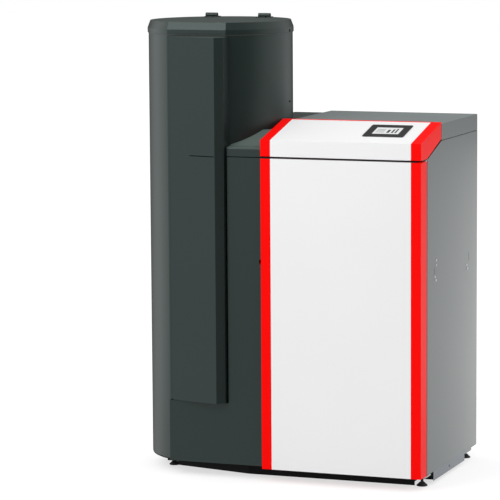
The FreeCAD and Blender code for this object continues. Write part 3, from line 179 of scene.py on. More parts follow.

# Powder coat, painted top light and plating; the painted top light, a lighter colour on upward faces, starts
# where a face looks up this much and is full at the second value
COAT_PEEL = 0.12 * MM
FINE_PEEL = 0.10 * MM
COAT_ROUGHNESS = 0.36
COAT_SHINE = 0.5
COAT_TINT = (0.84, 1.0, 0.96)
TOP_LIGHT_START = 0.55
TOP_LIGHT_FULL = 0.85
COVER_TOP_LIGHT = 2.0
LID_TOP_LIGHT = 2.3
# The lid's paint is a darker copy of the casing grey: painted shade on the lid
LID_SHADE = 0.95
BRIGHT_GLEAM = 1.45

# Each lamp's name, outline, width and height, place, and the point it faces
LAMPS = (
    ("front_light", "RECTANGLE", (2.6, 2.0), (-1.8, -4.0, 3.6), (0.0, 0.0, 0.8)),
    ("left_light", "RECTANGLE", (2.5, 4.2), (-4.2, -0.25, 1.5), (0.0, 0.0, 1.0)),
    ("rear_light", "ELLIPSE", (0.3, 1.6), (0.68, 1.1, 0.34), (0.56, 0.2, 0.5)),
)

# Sides of the studio: the value that sets their level, direction, and cosines where they start and are full
STUDIO_SIDES = (
    ("dim_front", (0.60, -0.80, 0.0), 0.50, 0.85),
    ("dim_back", (-0.34, 0.92, 0.15), 0.66, 0.92),
    ("right", (1.0, 0.4, 0.0), 0.0, 1.0),
    ("above", (0.1, -0.81, 0.57), 0.0, 1.0),
)
FLOOR_SIZE = 60.0
FLOOR_GREY = (0.42, 0.42, 0.42)
FLOOR_GLOW = 0.64
SENSOR_WIDTH = 36.0
CLIP_END = 200.0


# Sizes and colours that a user would change

def length(name, text, value):
    return bpy.props.FloatProperty(name=name, description=text, default=value, min=0.0, subtype="DISTANCE",
                                   unit="LENGTH")


def paint(name, text, value):
    return bpy.props.FloatVectorProperty(name=name, description=text, default=value, size=3, min=0.0, max=1.0,
                                         subtype="COLOR")


def level(name, text, value):
    return bpy.props.FloatProperty(name=name, description=text, default=value, min=0.0)


def power(name, text, watts):
    return bpy.props.FloatProperty(name=name, description=text, default=watts, min=0.0, unit="POWER")


def angle(name, text, degrees):
    radians = math.radians(degrees)
    return bpy.props.FloatProperty(name=name, description=text, default=radians, subtype="ANGLE")


class SheetSizes(bpy.types.PropertyGroup):
    fold: length("Fold", "Outer radius of a bend in the casing sheets", 2.4 * MM)
    wide_fold: length("Wide fold", "Outer radius of the bends in the grey top cover", 8.0 * MM)
    cap_fold: length("Cap fold", "Outer radius of the bends round the hopper's cap", 3.5 * MM)
    shell_fold: length("Shell fold", "Outer radius between the hopper's flat front and its wall", 7.0 * MM)
    sheet: length("Sheet", "Thickness of the casing sheets", 1.5 * MM)
    rim: length("Rim", "Rounding of a cut sheet edge", 0.35 * MM)
    solid_edge: length("Solid edge", "Rounding of machined and moulded edges", 0.6 * MM)


class FastenerSizes(bpy.types.PropertyGroup):
    head: length("Head radius", "Radius of a panel screw's head", 4.0 * MM)
    height: length("Head height", "Height of a panel screw's head", 2.0 * MM)
    socket: length("Socket", "Radius of the hexagon socket", 1.7 * MM)
    hinge_head: length("Hinge screw radius", "Radius of the hinge leaves' screws", 3.2 * MM)
    foot: length("Foot radius", "Radius of a levelling foot's pad", 20.0 * MM)
    stud: length("Stud radius", "Radius of a levelling foot's threaded stud", 5.0 * MM)


class Colours(bpy.types.PropertyGroup):
    grey: paint("Hopper grey", "Powder coat of the hopper and the grey front", (0.0085, 0.0160, 0.0145))
    # Casing grey is lighter than the hopper grey, and part of that lightness is painted light from the right
    # side
    side_grey: paint("Casing grey", "Powder coat of the side sheets and boiler lid", (0.112, 0.127, 0.127))
    # Dust is the lighter colour that upward faces blend to: painted top light
    dust: paint("Dust", "What settles on the hopper's upward faces", (0.058, 0.076, 0.070))
    red: paint("Trim red", "Gloss paint of the door tray and the console frame", (0.98, 0.002, 0.001))
    white: paint("Front white", "Gloss paint of the door and console panels", (0.86, 0.86, 0.865))
    black: paint("Black", "Base frame, plinth and plastic parts", (0.012, 0.012, 0.013))
    screen: paint("Screen", "Lit face of the display", (0.82, 0.83, 0.83))


class StageValues(bpy.types.PropertyGroup):
    front_light: power("Front light", "Power of the high lamp at the front left", 73.0)
    left_light: power("Left light", "Power of the wide lamp on the left", 22.0)
    rear_light: power("Rear light", "Power of the tall narrow lamp at the right rear", 2.3)
    ambient: level("Ambient", "Level of the even light from all round", 0.72)
    right: level("Right light", "Extra light from the pale wall on the right", 0.60)
    above: level("Top light", "Extra light from high up in front", 0.38)
    dim_front: level("Camera side", "How much darker the camera's side of the studio is in reflections", 0.85)
    dim_back: level("Far end", "How much darker the far end of the studio is in reflections", 0.92)
    lens: level("Lens", "Focal length in millimetres", 206.8)
    yaw: angle("Yaw", "Camera's turn to the left", 20.735)
    pitch: angle("Pitch", "Camera's tilt up", -7.225)
    roll: angle("Roll", "Camera's roll", -0.378)
    place: bpy.props.FloatVectorProperty(name="Place", description="Where the camera stands",
                                         default=(3.53995, -9.9246, 2.139), subtype="XYZ")


def sheet_sizes():
    return bpy.context.scene.boiler_sheets


def fasteners():
    return bpy.context.scene.boiler_fasteners


def colours():
    return bpy.context.scene.boiler_colours


# Shader maths on sockets

class Level:
    """A number socket in a node tree that plain arithmetic works on."""

    def __init__(self, finish, socket):
        self.finish = finish
        self.socket = socket

    def apply(self, operation, *inputs):
        node = self.finish.node("ShaderNodeMath", {"operation": operation}, dict(enumerate(inputs)))
        return Level(self.finish, node.outputs[0])

    def __add__(self, other):
        return self.apply("ADD", self, other)

    def __radd__(self, other):
        return self.apply("ADD", other, self)

    def __sub__(self, other):
        return self.apply("SUBTRACT", self, other)

    def __rsub__(self, other):
        return self.apply("SUBTRACT", other, self)

    def __mul__(self, other):
        return self.apply("MULTIPLY", self, other)

    def __rmul__(self, other):
        return self.apply("MULTIPLY", other, self)

    def __truediv__(self, other):
        return self.apply("DIVIDE", self, other)

    def __rtruediv__(self, other):
        return self.apply("DIVIDE", other, self)

    def at_least(self, other):
        return self.apply("MAXIMUM", self, other)

    def at_most(self, other):
        return self.apply("MINIMUM", self, other)

    def from_to(self, start, full):
        """Nothing below the start, one above the full value, and a straight rise between them."""
        return ((self - start) / (full - start)).at_least(0.0).at_most(1.0)


class Finish:
    """A node tree that is being filled: every node comes from node()."""

    def __init__(self, tree):
        self.tree = tree
        tree.nodes.clear()

    def node(self, kind, settings=None, sockets=None):
        made = self.tree.nodes.new(kind)
        for key, value in (settings or {}).items():
            setattr(made, key, value)
        for key, value in (sockets or {}).items():
            if isinstance(value, Level):
                value = value.socket
            if isinstance(value, bpy.types.NodeSocket):
                self.tree.links.new(value, made.inputs[key])
            else:
                made.inputs[key].default_value = value
        return made

    def coords(self, stretch=None, turn=(0.0, 0.0, 0.0)):
        vector = self.node("ShaderNodeTexCoord").outputs["Object"]
        if not stretch:
            return vector
        sockets = {"Vector": vector, "Scale": stretch, "Rotation": turn}
        return self.node("ShaderNodeMapping", None, sockets).outputs["Vector"]

    def noise(self, scale, detail, rough=0.5, stretch=None, turn=(0.0, 0.0, 0.0)):
        sockets = {"Vector": self.coords(stretch, turn), "Scale": scale, "Detail": detail, "Roughness": rough}
        return Level(self, self.node("ShaderNodeTexNoise", None, sockets).outputs["Fac"])

    def cells(self, scale):
        return self.node("ShaderNodeTexVoronoi", {"feature": "F1"}, {"Vector": self.coords(), "Scale": scale})

    def blend(self, factor, low, high):
        sockets = {MIX_FACTOR: factor, MIX_LOW: self.colour(low), MIX_HIGH: self.colour(high)}
        return self.node("ShaderNodeMix", {"data_type": "RGBA"}, sockets).outputs[MIX_RESULT]

    def colour(self, value):
        return value if isinstance(value, bpy.types.NodeSocket) else tuple(value) + (1.0,)

    def facing_up(self, start, full):
        """One where the surface faces up, nothing where it stands upright."""
        normal = self.node("ShaderNodeTexCoord").outputs["Normal"]
        up = Level(self, self.node("ShaderNodeSeparateXYZ", None, {0: normal}).outputs["Z"])
        return up.from_to(start, full)

    def bump(self, height, strength, distance):
        sockets = {"Height": height, "Strength": strength, "Distance": distance}
        return self.node("ShaderNodeBump", None, sockets).outputs["Normal"]

    def surface(self, sockets):
        shader = self.node("ShaderNodeBsdfPrincipled", None, sockets)
        self.node("ShaderNodeOutputMaterial", None, {"Surface": shader.outputs[0]})


def new_finish(name):
    material = bpy.data.materials.new(name)
    material.use_nodes = True
    return material, Finish(material.node_tree)


def shade(colour, factor):
    return tuple(min(channel * factor, 1.0) for channel in colour)


# Finishes

def powder_coat(name, colour, dust=None, tint=WHITE, peel_depth=COAT_PEEL, roughness=COAT_ROUGHNESS,
                shine=COAT_SHINE):
    material, f = new_finish(name)
    peel = f.noise(scale=760.0, detail=2.0)
    cloud = f.noise(scale=2.2, detail=3.0)
    speck = f.noise(scale=2400.0, detail=1.0)
    tone = (cloud * 0.7 + speck * 0.3).at_most(1.0)
    coat = f.blend(tone, low=shade(colour, 0.86), high=shade(colour, 1.14))
    # Painted top light: upward faces blend towards the lighter colour passed as dust
    if dust:
        cover = f.facing_up(TOP_LIGHT_START, TOP_LIGHT_FULL) * (0.7 + cloud * 0.4).at_most(1.0)
        coat = f.blend(cover, low=coat, high=dust)
    f.surface({
        "Base Color": coat,
        "Roughness": roughness - 0.05 + cloud * 0.06 + peel * 0.04,
        "Specular IOR Level": shine,
        "Specular Tint": f.colour(tint),
        "Normal": f.bump(peel, strength=0.22, distance=peel_depth),
    })
    return material


def gloss_paint(name, colour, roughness, shine):
    material, f = new_finish(name)
    flow = f.noise(scale=46.0, detail=2.0)
    cloud = f.noise(scale=1.6, detail=2.0)
    f.surface({
        "Base Color": f.blend(cloud, low=shade(colour, 0.965), high=shade(colour, 1.03)),
        "Roughness": roughness - 0.02 + flow * 0.04,
        "Specular IOR Level": shine,
        "Normal": f.bump(flow, strength=0.05, distance=0.4 * MM),
    })
    return material


def moulded_plastic(name, colour, roughness, grain):
    material, f = new_finish(name)
    pits = Level(f, f.cells(grain).outputs["Distance"])
    cloud = f.noise(scale=9.0, detail=2.0)
    f.surface({
        "Base Color": f.blend(cloud, low=shade(colour, 0.8), high=shade(colour, 1.25)),
        "Roughness": roughness - 0.04 + cloud * 0.08,
        "Normal": f.bump(pits, strength=0.18, distance=0.2 * MM),
    })
    return material


def rubber(name, colour, roughness):
    material, f = new_finish(name)
    grain = f.noise(scale=900.0, detail=3.0)
    dust = f.noise(scale=24.0, detail=4.0, rough=0.7)
    f.surface({
        "Base Color": f.blend(dust, low=shade(colour, 0.8), high=shade(colour, 1.9)),
        "Roughness": roughness + grain * 0.16,
        "Normal": f.bump(grain, strength=0.3, distance=0.3 * MM),
    })
    return material


def zinc_steel(name, gleam=1.0):
    material, f = new_finish(name)
    spangle = f.cells(scale=110.0).outputs["Color"]
    grey = Level(f, f.node("ShaderNodeRGBToBW", None, {"Color": spangle}).outputs[0])
    haze = f.noise(scale=7.0, detail=3.0)
    grain = f.noise(scale=320.0, detail=2.0)
    dull = shade((0.50, 0.52, 0.54), gleam)
    bright = shade((0.66, 0.67, 0.68), gleam)
    f.surface({
        "Base Color": f.blend(grey, low=dull, high=bright),
        "Metallic": 1.0,
        "Roughness": 0.30 + haze * 0.10 + grey * 0.10,
        "Normal": f.bump(grain, strength=0.06, distance=0.2 * MM),
    })
    return material


def turned_steel(name):
    material, f = new_finish(name)
    lines = f.noise(scale=60.0, detail=2.0, rough=0.6, stretch=(1.0, 1.0, 34.0))
    haze = f.noise(scale=18.0, detail=2.0)
    f.surface({
        "Base Color": f.blend(haze, low=(0.46, 0.46, 0.47), high=(0.62, 0.62, 0.63)),
        "Metallic": 1.0,
        "Roughness": 0.24 + lines * 0.16,
        "Normal": f.bump(lines, strength=0.08, distance=0.1 * MM),
    })
    return material


def cast_metal(name, low, high, roughness, metallic, depth):
    material, f = new_finish(name)
    grain = f.noise(scale=420.0, detail=4.0, rough=0.6)
    stain = f.noise(scale=6.0, detail=4.0, rough=0.6)
    f.surface({
        "Base Color": f.blend(stain, low, high),
        "Metallic": metallic,
        "Roughness": roughness + grain * 0.12,
        "Normal": f.bump(grain, strength=0.45, distance=depth),
    })
    return material


def brass(name):
    material, f = new_finish(name)
    lines = f.noise(scale=40.0, detail=2.0, rough=0.6, stretch=(1.0, 30.0, 1.0))
    tarnish = f.noise(scale=22.0, detail=3.0, rough=0.6)
    f.surface({
        "Base Color": f.blend(tarnish, low=(0.50, 0.33, 0.11), high=(0.76, 0.56, 0.24)),
        "Metallic": 1.0,
        "Roughness": 0.22 + lines * 0.14 + tarnish * 0.06,
        "Normal": f.bump(lines, strength=0.05, distance=0.1 * MM),
    })
    return material


def mineral_wool(name):
    material, f = new_finish(name)
    fibres = f.noise(scale=150.0, detail=4.0, rough=0.65, stretch=(1.0, 1.0, 7.0), turn=(0.3, 0.2, 0.5))
    tufts = f.noise(scale=28.0, detail=3.0, rough=0.6)
    tone = fibres * 0.6 + tufts * 0.4
    f.surface({
        "Base Color": f.blend(tone, low=(0.44, 0.36, 0.17), high=(0.80, 0.74, 0.50)),
        "Roughness": 0.94,
        "Normal": f.bump(fibres + tufts, strength=0.8, distance=2.0 * MM),
    })
    return material


def lit_screen(name, colour):
    material, f = new_finish(name)
    rows = f.noise(scale=1500.0, detail=0.0)
    fade = f.noise(scale=5.0, detail=1.0)
    f.surface({
        "Base Color": f.blend(fade, low=shade(colour, 0.08), high=shade(colour, 0.14)),
        "Roughness": 0.16 + fade * 0.04,
        "Emission Color": f.blend(fade * 0.7 + rows * 0.3, low=shade(colour, 0.95), high=colour),
        "Emission Strength": 1.0,
        "Coat Weight": 0.6,
        "Coat Roughness": 0.08,
    })
    return material


def make_finishes():
    c = colours()
    grey = tuple(c.grey)
    side_grey = tuple(c.side_grey)
    black = tuple(c.black)
    return {
        "grey_paint": powder_coat("hopper_powder_coat", grey, tuple(c.dust), COAT_TINT),
        "top_lit_grey_paint": powder_coat("cover_powder_coat", grey, shade(c.dust, COVER_TOP_LIGHT), COAT_TINT),
        # The casing grey is partly painted light from the right; the hopper, cover and lid finishes carry
        # painted top light
        "side_grey_paint": powder_coat("casing_powder_coat", side_grey),
        "top_lit_side_grey_paint": powder_coat("lid_powder_coat", shade(side_grey, LID_SHADE),
                                             shade(side_grey, LID_TOP_LIGHT)),
        "light_grey_paint": powder_coat("base_plate_paint", (0.175, 0.193, 0.216), peel_depth=FINE_PEEL,
                                        roughness=0.45),
        "black_paint": powder_coat("base_black_paint", shade(black, 0.4), peel_depth=FINE_PEEL,
                                   roughness=0.6, shine=0.12),
        "red_paint": gloss_paint("trim_red_paint", tuple(c.red), roughness=0.36, shine=0.06),
        "white_paint": gloss_paint("front_white_paint", tuple(c.white), roughness=0.34, shine=0.12),
        "black_plastic": moulded_plastic("black_plastic", shade(black, 1.2), roughness=0.42, grain=1800.0),
        "screen_pale_ink": moulded_plastic("screen_pale_ink", (0.40, 0.42, 0.42), roughness=0.5,
                                           grain=3000.0),
        "screen_ink": moulded_plastic("screen_ink", (0.045, 0.05, 0.05), roughness=0.5, grain=3000.0),
        "screen_glass": lit_screen("display_face", tuple(c.screen)),
        "rubber": rubber("rubber", (0.014, 0.014, 0.014), roughness=0.66),
        "grey_rubber": rubber("grey_rubber", (0.036, 0.044, 0.042), roughness=0.36),
        "bare_steel": zinc_steel("zinc_plate"),
        "bright_steel": zinc_steel("bright_zinc_plate", BRIGHT_GLEAM),
        "turned_steel": turned_steel("turned_steel"),
        "cast_iron": cast_metal("cast_iron", low=(0.030, 0.029, 0.028), high=(0.062, 0.058, 0.055),
                                roughness=0.56, metallic=0.0, depth=0.5 * MM),
        "cast_aluminium": cast_metal("cast_aluminium", low=(0.55, 0.56, 0.57), high=(0.70, 0.71, 0.72),
                                     roughness=0.38, metallic=1.0, depth=0.3 * MM),
        "brass": brass("brass"),
        "wool": mineral_wool("mineral_wool"),
    }


FINISHES = {}


def finish_of(slot):
    if not FINISHES:
        FINISHES.update(make_finishes())
    return FINISHES[slot]


def dress(piece, slot):
    piece.data.materials.clear()
    piece.data.materials.append(finish_of(slot))


# Selecting and shaping

def only(piece):
    bpy.ops.object.select_all(action="DESELECT")
    piece.select_set(True)
    bpy.context.view_layer.objects.active = piece


def in_edit(piece):
    only(piece)
    bpy.ops.object.mode_set(mode="EDIT")
    bpy.ops.mesh.select_all(action="DESELECT")


def out_of_edit():
    bpy.ops.object.mode_set(mode="OBJECT")


def pick(piece, kind, test):
    """In edit mode, select only the faces, edges or vertices that pass the test."""
    bpy.ops.mesh.select_mode(type=kind)
    bpy.ops.mesh.select_all(action="DESELECT")
    mesh = bmesh.from_edit_mesh(piece.data)
    items = {"FACE": mesh.faces, "EDGE": mesh.edges, "VERT": mesh.verts}[kind]
    found = 0
    for item in items:
        if test(item):
            item.select_set(True)
            found += 1
    mesh.select_flush_mode()
    bmesh.update_edit_mesh(piece.data)
    if not found:
        raise RuntimeError("nothing to shape on " + piece.name)


def put_modifier(piece, kind, **settings):
    only(piece)
    modifier = piece.modifiers.new("shape", kind)
    for key, value in settings.items():
        setattr(modifier, key, value)
    bpy.ops.object.modifier_apply(modifier=modifier.name)


def smooth(piece):
    only(piece)
    bpy.ops.object.shade_smooth_by_angle(angle=SHADE_ANGLE)


def fresh(add, location=(0, 0, 0), **sizes):
    """A new basic shape, made while nothing else is selected."""
    bpy.ops.object.select_all(action="DESELECT")
    add(location=location, **sizes)
    return bpy.context.object


def block(size, edge, steps):
    """A block with rounded edges, round the origin."""
    piece = fresh(bpy.ops.mesh.primitive_cube_add, size=1.0)
    in_edit(piece)
    bpy.ops.mesh.select_all(action="SELECT")
    bpy.ops.transform.resize(value=tuple(size))
    bpy.ops.mesh.bevel(offset=edge, segments=steps, affect="EDGES")
    out_of_edit()
    return piece


def joined(pieces):
    bpy.ops.object.select_all(action="DESELECT")
    for piece in pieces:
        piece.select_set(True)
    bpy.context.view_layer.objects.active = pieces[0]
    if len(pieces) > 1:
        bpy.ops.object.join()
    return bpy.context.object


def settle(piece, body, slot, name):
    """Apply the piece's place to its mesh, give it its finish and let it ride on its body."""
    only(piece)
    bpy.ops.object.transform_apply(location=True, rotation=True, scale=True)
    piece.name = name
    piece.data.name = name
    dress(piece, slot)
    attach(piece, body)
    return piece


def face_width(face):
    return 2.0 * face.calc_area() / max(face.calc_perimeter(), SMALLEST_PERIMETER)


def weigh_edges(piece, fold, inner_fold, rim):
    """Give each sharp edge its share of the fold radius: bends take all of it, cut edges the rim."""
    mesh = bmesh.new()
    mesh.from_mesh(piece.data)
    layers = mesh.edges.layers.float
    weight = layers.get(WEIGHT_LAYER) or layers.new(WEIGHT_LAYER)
    for edge in mesh.edges:
        if len(edge.link_faces) != 2 or edge.calc_face_angle() < SHARP_ANGLE:
            continue
        wide = min(face_width(face) for face in edge.link_faces) > RIM_WIDTH
        if wide:
            edge[weight] = 1.0 if edge.is_convex else inner_fold / fold
        elif edge.is_convex:
            edge[weight] = rim / fold
    mesh.to_mesh(piece.data)
    mesh.free()


def softened(node, fold, inner_fold, rim):
    """A copy of a node with its bends rounded and its cut edges eased, which stands for the node."""
    piece = bpy.data.objects.new(node + "_soft", NODES[node].data.copy())
    bpy.context.scene.collection.objects.link(piece)
    in_edit(piece)
    bpy.ops.mesh.select_all(action="SELECT")
    bpy.ops.mesh.remove_doubles(threshold=MERGE_DISTANCE)
    bpy.ops.mesh.dissolve_limited(angle_limit=FLAT_ANGLE)
    out_of_edit()
    weigh_edges(piece, fold, inner_fold, rim)
    put_modifier(piece, "BEVEL", width=fold, segments=FOLD_STEPS, limit_method="WEIGHT",
                 use_clamp_overlap=True, miter_outer="MITER_ARC", face_strength_mode="FSTR_AFFECTED")
    smooth(piece)
    put_modifier(piece, "WEIGHTED_NORMAL", keep_sharp=True, use_face_influence=True)
    dress(piece, FINISH_OF.get(node, SLOT_OF[node]))
    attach(piece, BODY_OF[node])
    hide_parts(node)


def soften_sheets(nodes, fold=None):
    s = sheet_sizes()
    fold = fold or s.fold
    for node in nodes:
        softened(node, fold, max(fold - s.sheet, s.rim), s.rim)


def soften_solids(nodes, edge=None):
    edge = edge or sheet_sizes().solid_edge
    for node in nodes:
        softened(node, edge, INNER_EDGE_SHARE * edge, edge)


def dress_nodes(nodes):
    for node in nodes:
        dress(NODES[node], SLOT_OF[node])


def solids_of(node):
    """Lowest and highest corner of each separate solid in a node."""
    mesh = bmesh.new()
    mesh.from_mesh(NODES[node].data)
    bmesh.ops.remove_doubles(mesh, verts=mesh.verts, dist=MERGE_DISTANCE)
    left = set(mesh.verts)
    boxes = []
    while left:
        todo = [left.pop()]
        group = []
        while todo:
            vert = todo.pop()
            group.append(vert.co.copy())
            for edge in vert.link_edges:
                other = edge.other_vert(vert)
                if other in left:
                    left.remove(other)
                    todo.append(other)
        low = Vector(min(co[i] for co in group) for i in range(3))
        high = Vector(max(co[i] for co in group) for i in range(3))
        boxes.append((low, high))
    mesh.free()
    return sorted(boxes, key=lambda box: tuple(box[0]))


def hopper_axis():
    """Where the hopper's axis stands, seen from above."""
    low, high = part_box("hopper_seal")
    radius = (high.x - low.x) / 2
    return low.x + radius, high.y - radius


# Screws

def screw_head(radius, height, socket):
    """One pan head with a hexagon socket, standing on the ground at the origin."""
    head = fresh(bpy.ops.mesh.primitive_cylinder_add, (0, 0, height / 2), vertices=HEAD_SIDES, radius=radius,
                 depth=height)
    in_edit(head)
    pick(head, "EDGE", lambda edge: all(vert.co.z > HEAD_UPPER_SHARE * height for vert in edge.verts))
    bpy.ops.mesh.bevel(offset=HEAD_ROUND_SHARE * height, segments=HEAD_STEPS, affect="EDGES")
    out_of_edit()
    only(head)
    bpy.ops.object.transform_apply(location=True, rotation=True, scale=True)
    key = fresh(bpy.ops.mesh.primitive_cylinder_add, (0, 0, height), vertices=SOCKET_SIDES, radius=socket,
                depth=height)
    put_modifier(head, "BOOLEAN", operation="DIFFERENCE", object=key, solver="EXACT")
    bpy.data.objects.remove(key)
    smooth(head)
    return head


def put_copies(pattern, places, name, body, slot):
    """Join copies of a pattern piece, each at its place and turned along its direction."""
    made = []
    for spot, along in places:
        piece = pattern.copy()
        piece.data = pattern.data.copy()
        bpy.context.scene.collection.objects.link(piece)
        turn = UP.rotation_difference(along).to_matrix().to_4x4()
        piece.data.transform(Matrix.Translation(spot) @ turn)
        made.append(piece)
    return settle(joined(made), body, slot, name)


# Operators, one for each group of pieces

class BOILER_OT_hopper(bpy.types.Operator):
    """Round hopper: shells, flat cover, seal, floor and funnel"""
    bl_idname = "boiler.hopper"
    bl_label = "Hopper"

    def execute(self, context):
        s = sheet_sizes()
        soften_sheets(["hopper_front_shell", "hopper_rear_shell"], s.shell_fold)
        soften_sheets(["hopper_cover"], COVER_FOLDS * s.fold)
        soften_solids(["hopper_floor", "hopper_seal"])
        dress_nodes(["hopper_funnel"])
        return {"FINISHED"}


class BOILER_OT_hopper_lid(bpy.types.Operator):
    """Hopper cap: lid, rear deck, hinges with their screws"""
    bl_idname = "boiler.hopper_lid"
    bl_label = "Hopper lid"

    def execute(self, context):
        size = fasteners()
        soften_sheets(["hopper_lid", "hopper_rear_deck"], sheet_sizes().cap_fold)
        soften_solids(["lid_hinge_front_leaves", "lid_hinge_back_leaves", "lid_hinge_pins"], THIN_EDGE)
        self.leaf_screws(size)
        self.pin_heads(size)
        self.rim_screws(size)
        return {"FINISHED"}

    def low_head(self, size, radius):
        return screw_head(radius, LOW_HEAD_SHARE * size.height, WIDE_SOCKET_SHARE * size.hinge_head)

    def leaf_screws(self, size):
        """Dark screws near the outer ends of the hinge leaves."""
        pattern = self.low_head(size, size.hinge_head)
        for node, name, at_front in LEAF_SCREWS:
            places = []
            for low, high in solids_of(node):
                y = low.y + LEAF_END if at_front else high.y - LEAF_END
                for x in (low.x + LEAF_SIDE, high.x - LEAF_SIDE):
                    places.append((Vector((x, y, low.z + LEAF_THICKNESS)), UP))
            put_copies(pattern, places, name, BODY_OF[node], "black_paint")
        bpy.data.objects.remove(pattern)

    def pin_heads(self, size):
        """Dark heads on both ends of the hinge pins."""
        pattern = self.low_head(size, PIN_HEAD_SHARE * size.hinge_head)
        places = []
        for low, high in solids_of("lid_hinge_pins"):
            middle = (low + high) / 2
            places.append((Vector((low.x, middle.y, middle.z)), Vector((-1, 0, 0))))
            places.append((Vector((high.x, middle.y, middle.z)), Vector((1, 0, 0))))
        put_copies(pattern, places, "hinge_pin_heads", BODY_OF["lid_hinge_pins"], "black_paint")
        bpy.data.objects.remove(pattern)

    def rim_screws(self, size):
        """Dark screws in the cap's lip, above the seam of the shells."""
        axis_x, axis_y = hopper_axis()
        low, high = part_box("hopper_lid")
        reach = (high.x - low.x) / 2 - RIM_SCREW_SINK
        pattern = screw_head(RIM_SCREW_SHARE * size.head, size.height, size.socket)
        places = []
        for degrees in RIM_SCREW_TURNS:
            turn = math.radians(degrees)
            out = Vector((math.cos(turn), math.sin(turn), 0))
            places.append((Vector((axis_x, axis_y, low.z + RIM_SCREW_RISE)) + out * reach, out))
        put_copies(pattern, places, "rim_screw_heads", BODY_OF["hopper_lid"], "black_paint")
        bpy.data.objects.remove(pattern)


class BOILER_OT_casing(bpy.types.Operator):
    """Boiler casing: side, rear and top sheets, grey front, base"""
    bl_idname = "boiler.casing"
    bl_label = "Casing"

    def execute(self, context):
        soften_sheets(["right_side_panel", "left_side_panel", "rear_panel", "boiler_lid"])
        soften_sheets(["hopper_front_panel", "side_bridge_cover", "base_side_plate", "front_plinth"])
        soften_sheets(["hopper_top_cover"], sheet_sizes().wide_fold)
        soften_solids(["base_frame", "finger_cup"])
        return {"FINISHED"}


class BOILER_OT_door(bpy.types.Operator):
    """Casing door: red tray, white panel, hinges and catch"""
    bl_idname = "boiler.door"
    bl_label = "Door"

    def execute(self, context):
        soften_sheets(["door_tray"])
        soften_solids(["door_panel"], THIN_EDGE)
        soften_solids(["door_hinge_bushes", "door_hinge_pivots", "door_strike", "door_magnet"])
        self.top_seal_and_slit_shade()
        return {"FINISHED"}

    def top_seal_and_slit_shade(self):
        """Black foam strip on the door's upper lip, under the console; its black also stands in for the shade
        in the slit there.
        """
        panel_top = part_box("door_panel")[1].z
        low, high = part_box("door_tray")
        corner = Vector((low.x + SEAL_LEFT, low.y + SEAL_FRONT, panel_top))
        size = Vector((high.x - low.x - SEAL_SHORTER, SEAL_DEPTH, SEAL_THICKNESS))
        strip = block(size, SEAL_EDGE, SEAL_STEPS)
        smooth(strip)
        strip.data.transform(Matrix.Translation(corner + size / 2))
        settle(strip, BODY_OF["door_tray"], "rubber", "door_top_seal")


class BOILER_OT_console(bpy.types.Operator):
    """Console: red frame, white panel, bezel, lit screen and its marks"""
    bl_idname = "boiler.console"
    bl_label = "Console"

    def execute(self, context):
        soften_sheets(["console_frame", "console_panel"])
        soften_solids(["display_bezel"], BEZEL_EDGE)
        soften_solids(["display_screen"], SCREEN_EDGE)
        self.draw_marks()
        return {"FINISHED"}

    def draw_marks(self):
        """Thin lines and bars on the screen's face."""
        low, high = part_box("display_screen")
        up = Vector((0, math.cos(SLOPE), math.sin(SLOPE)))
        out = Vector((0, -math.sin(SLOPE), math.cos(SLOPE)))
        wide = high.x - low.x
        upper_left = Vector((low.x, high.y - SCREEN_THICKNESS * math.sin(SLOPE), high.z))
        lower_left = upper_left - up * SCREEN_HEIGHT
        for name, ink, rows in SCREEN_MARKS:
            marks = []
            for x, y, w, h in rows:
                mark = block((w * wide, h * SCREEN_HEIGHT, MARK_THICKNESS), MARK_EDGE, MARK_STEPS)
                across = Vector(((x + w / 2) * wide, 0, 0))
                middle = lower_left + across + up * ((y + h / 2) * SCREEN_HEIGHT) + out * MARK_LIFT
                mark.data.transform(Matrix.Translation(middle) @ Matrix.Rotation(SLOPE, 4, "X"))
                marks.append(mark)
            settle(joined(marks), BODY_OF["display_screen"], ink, name)


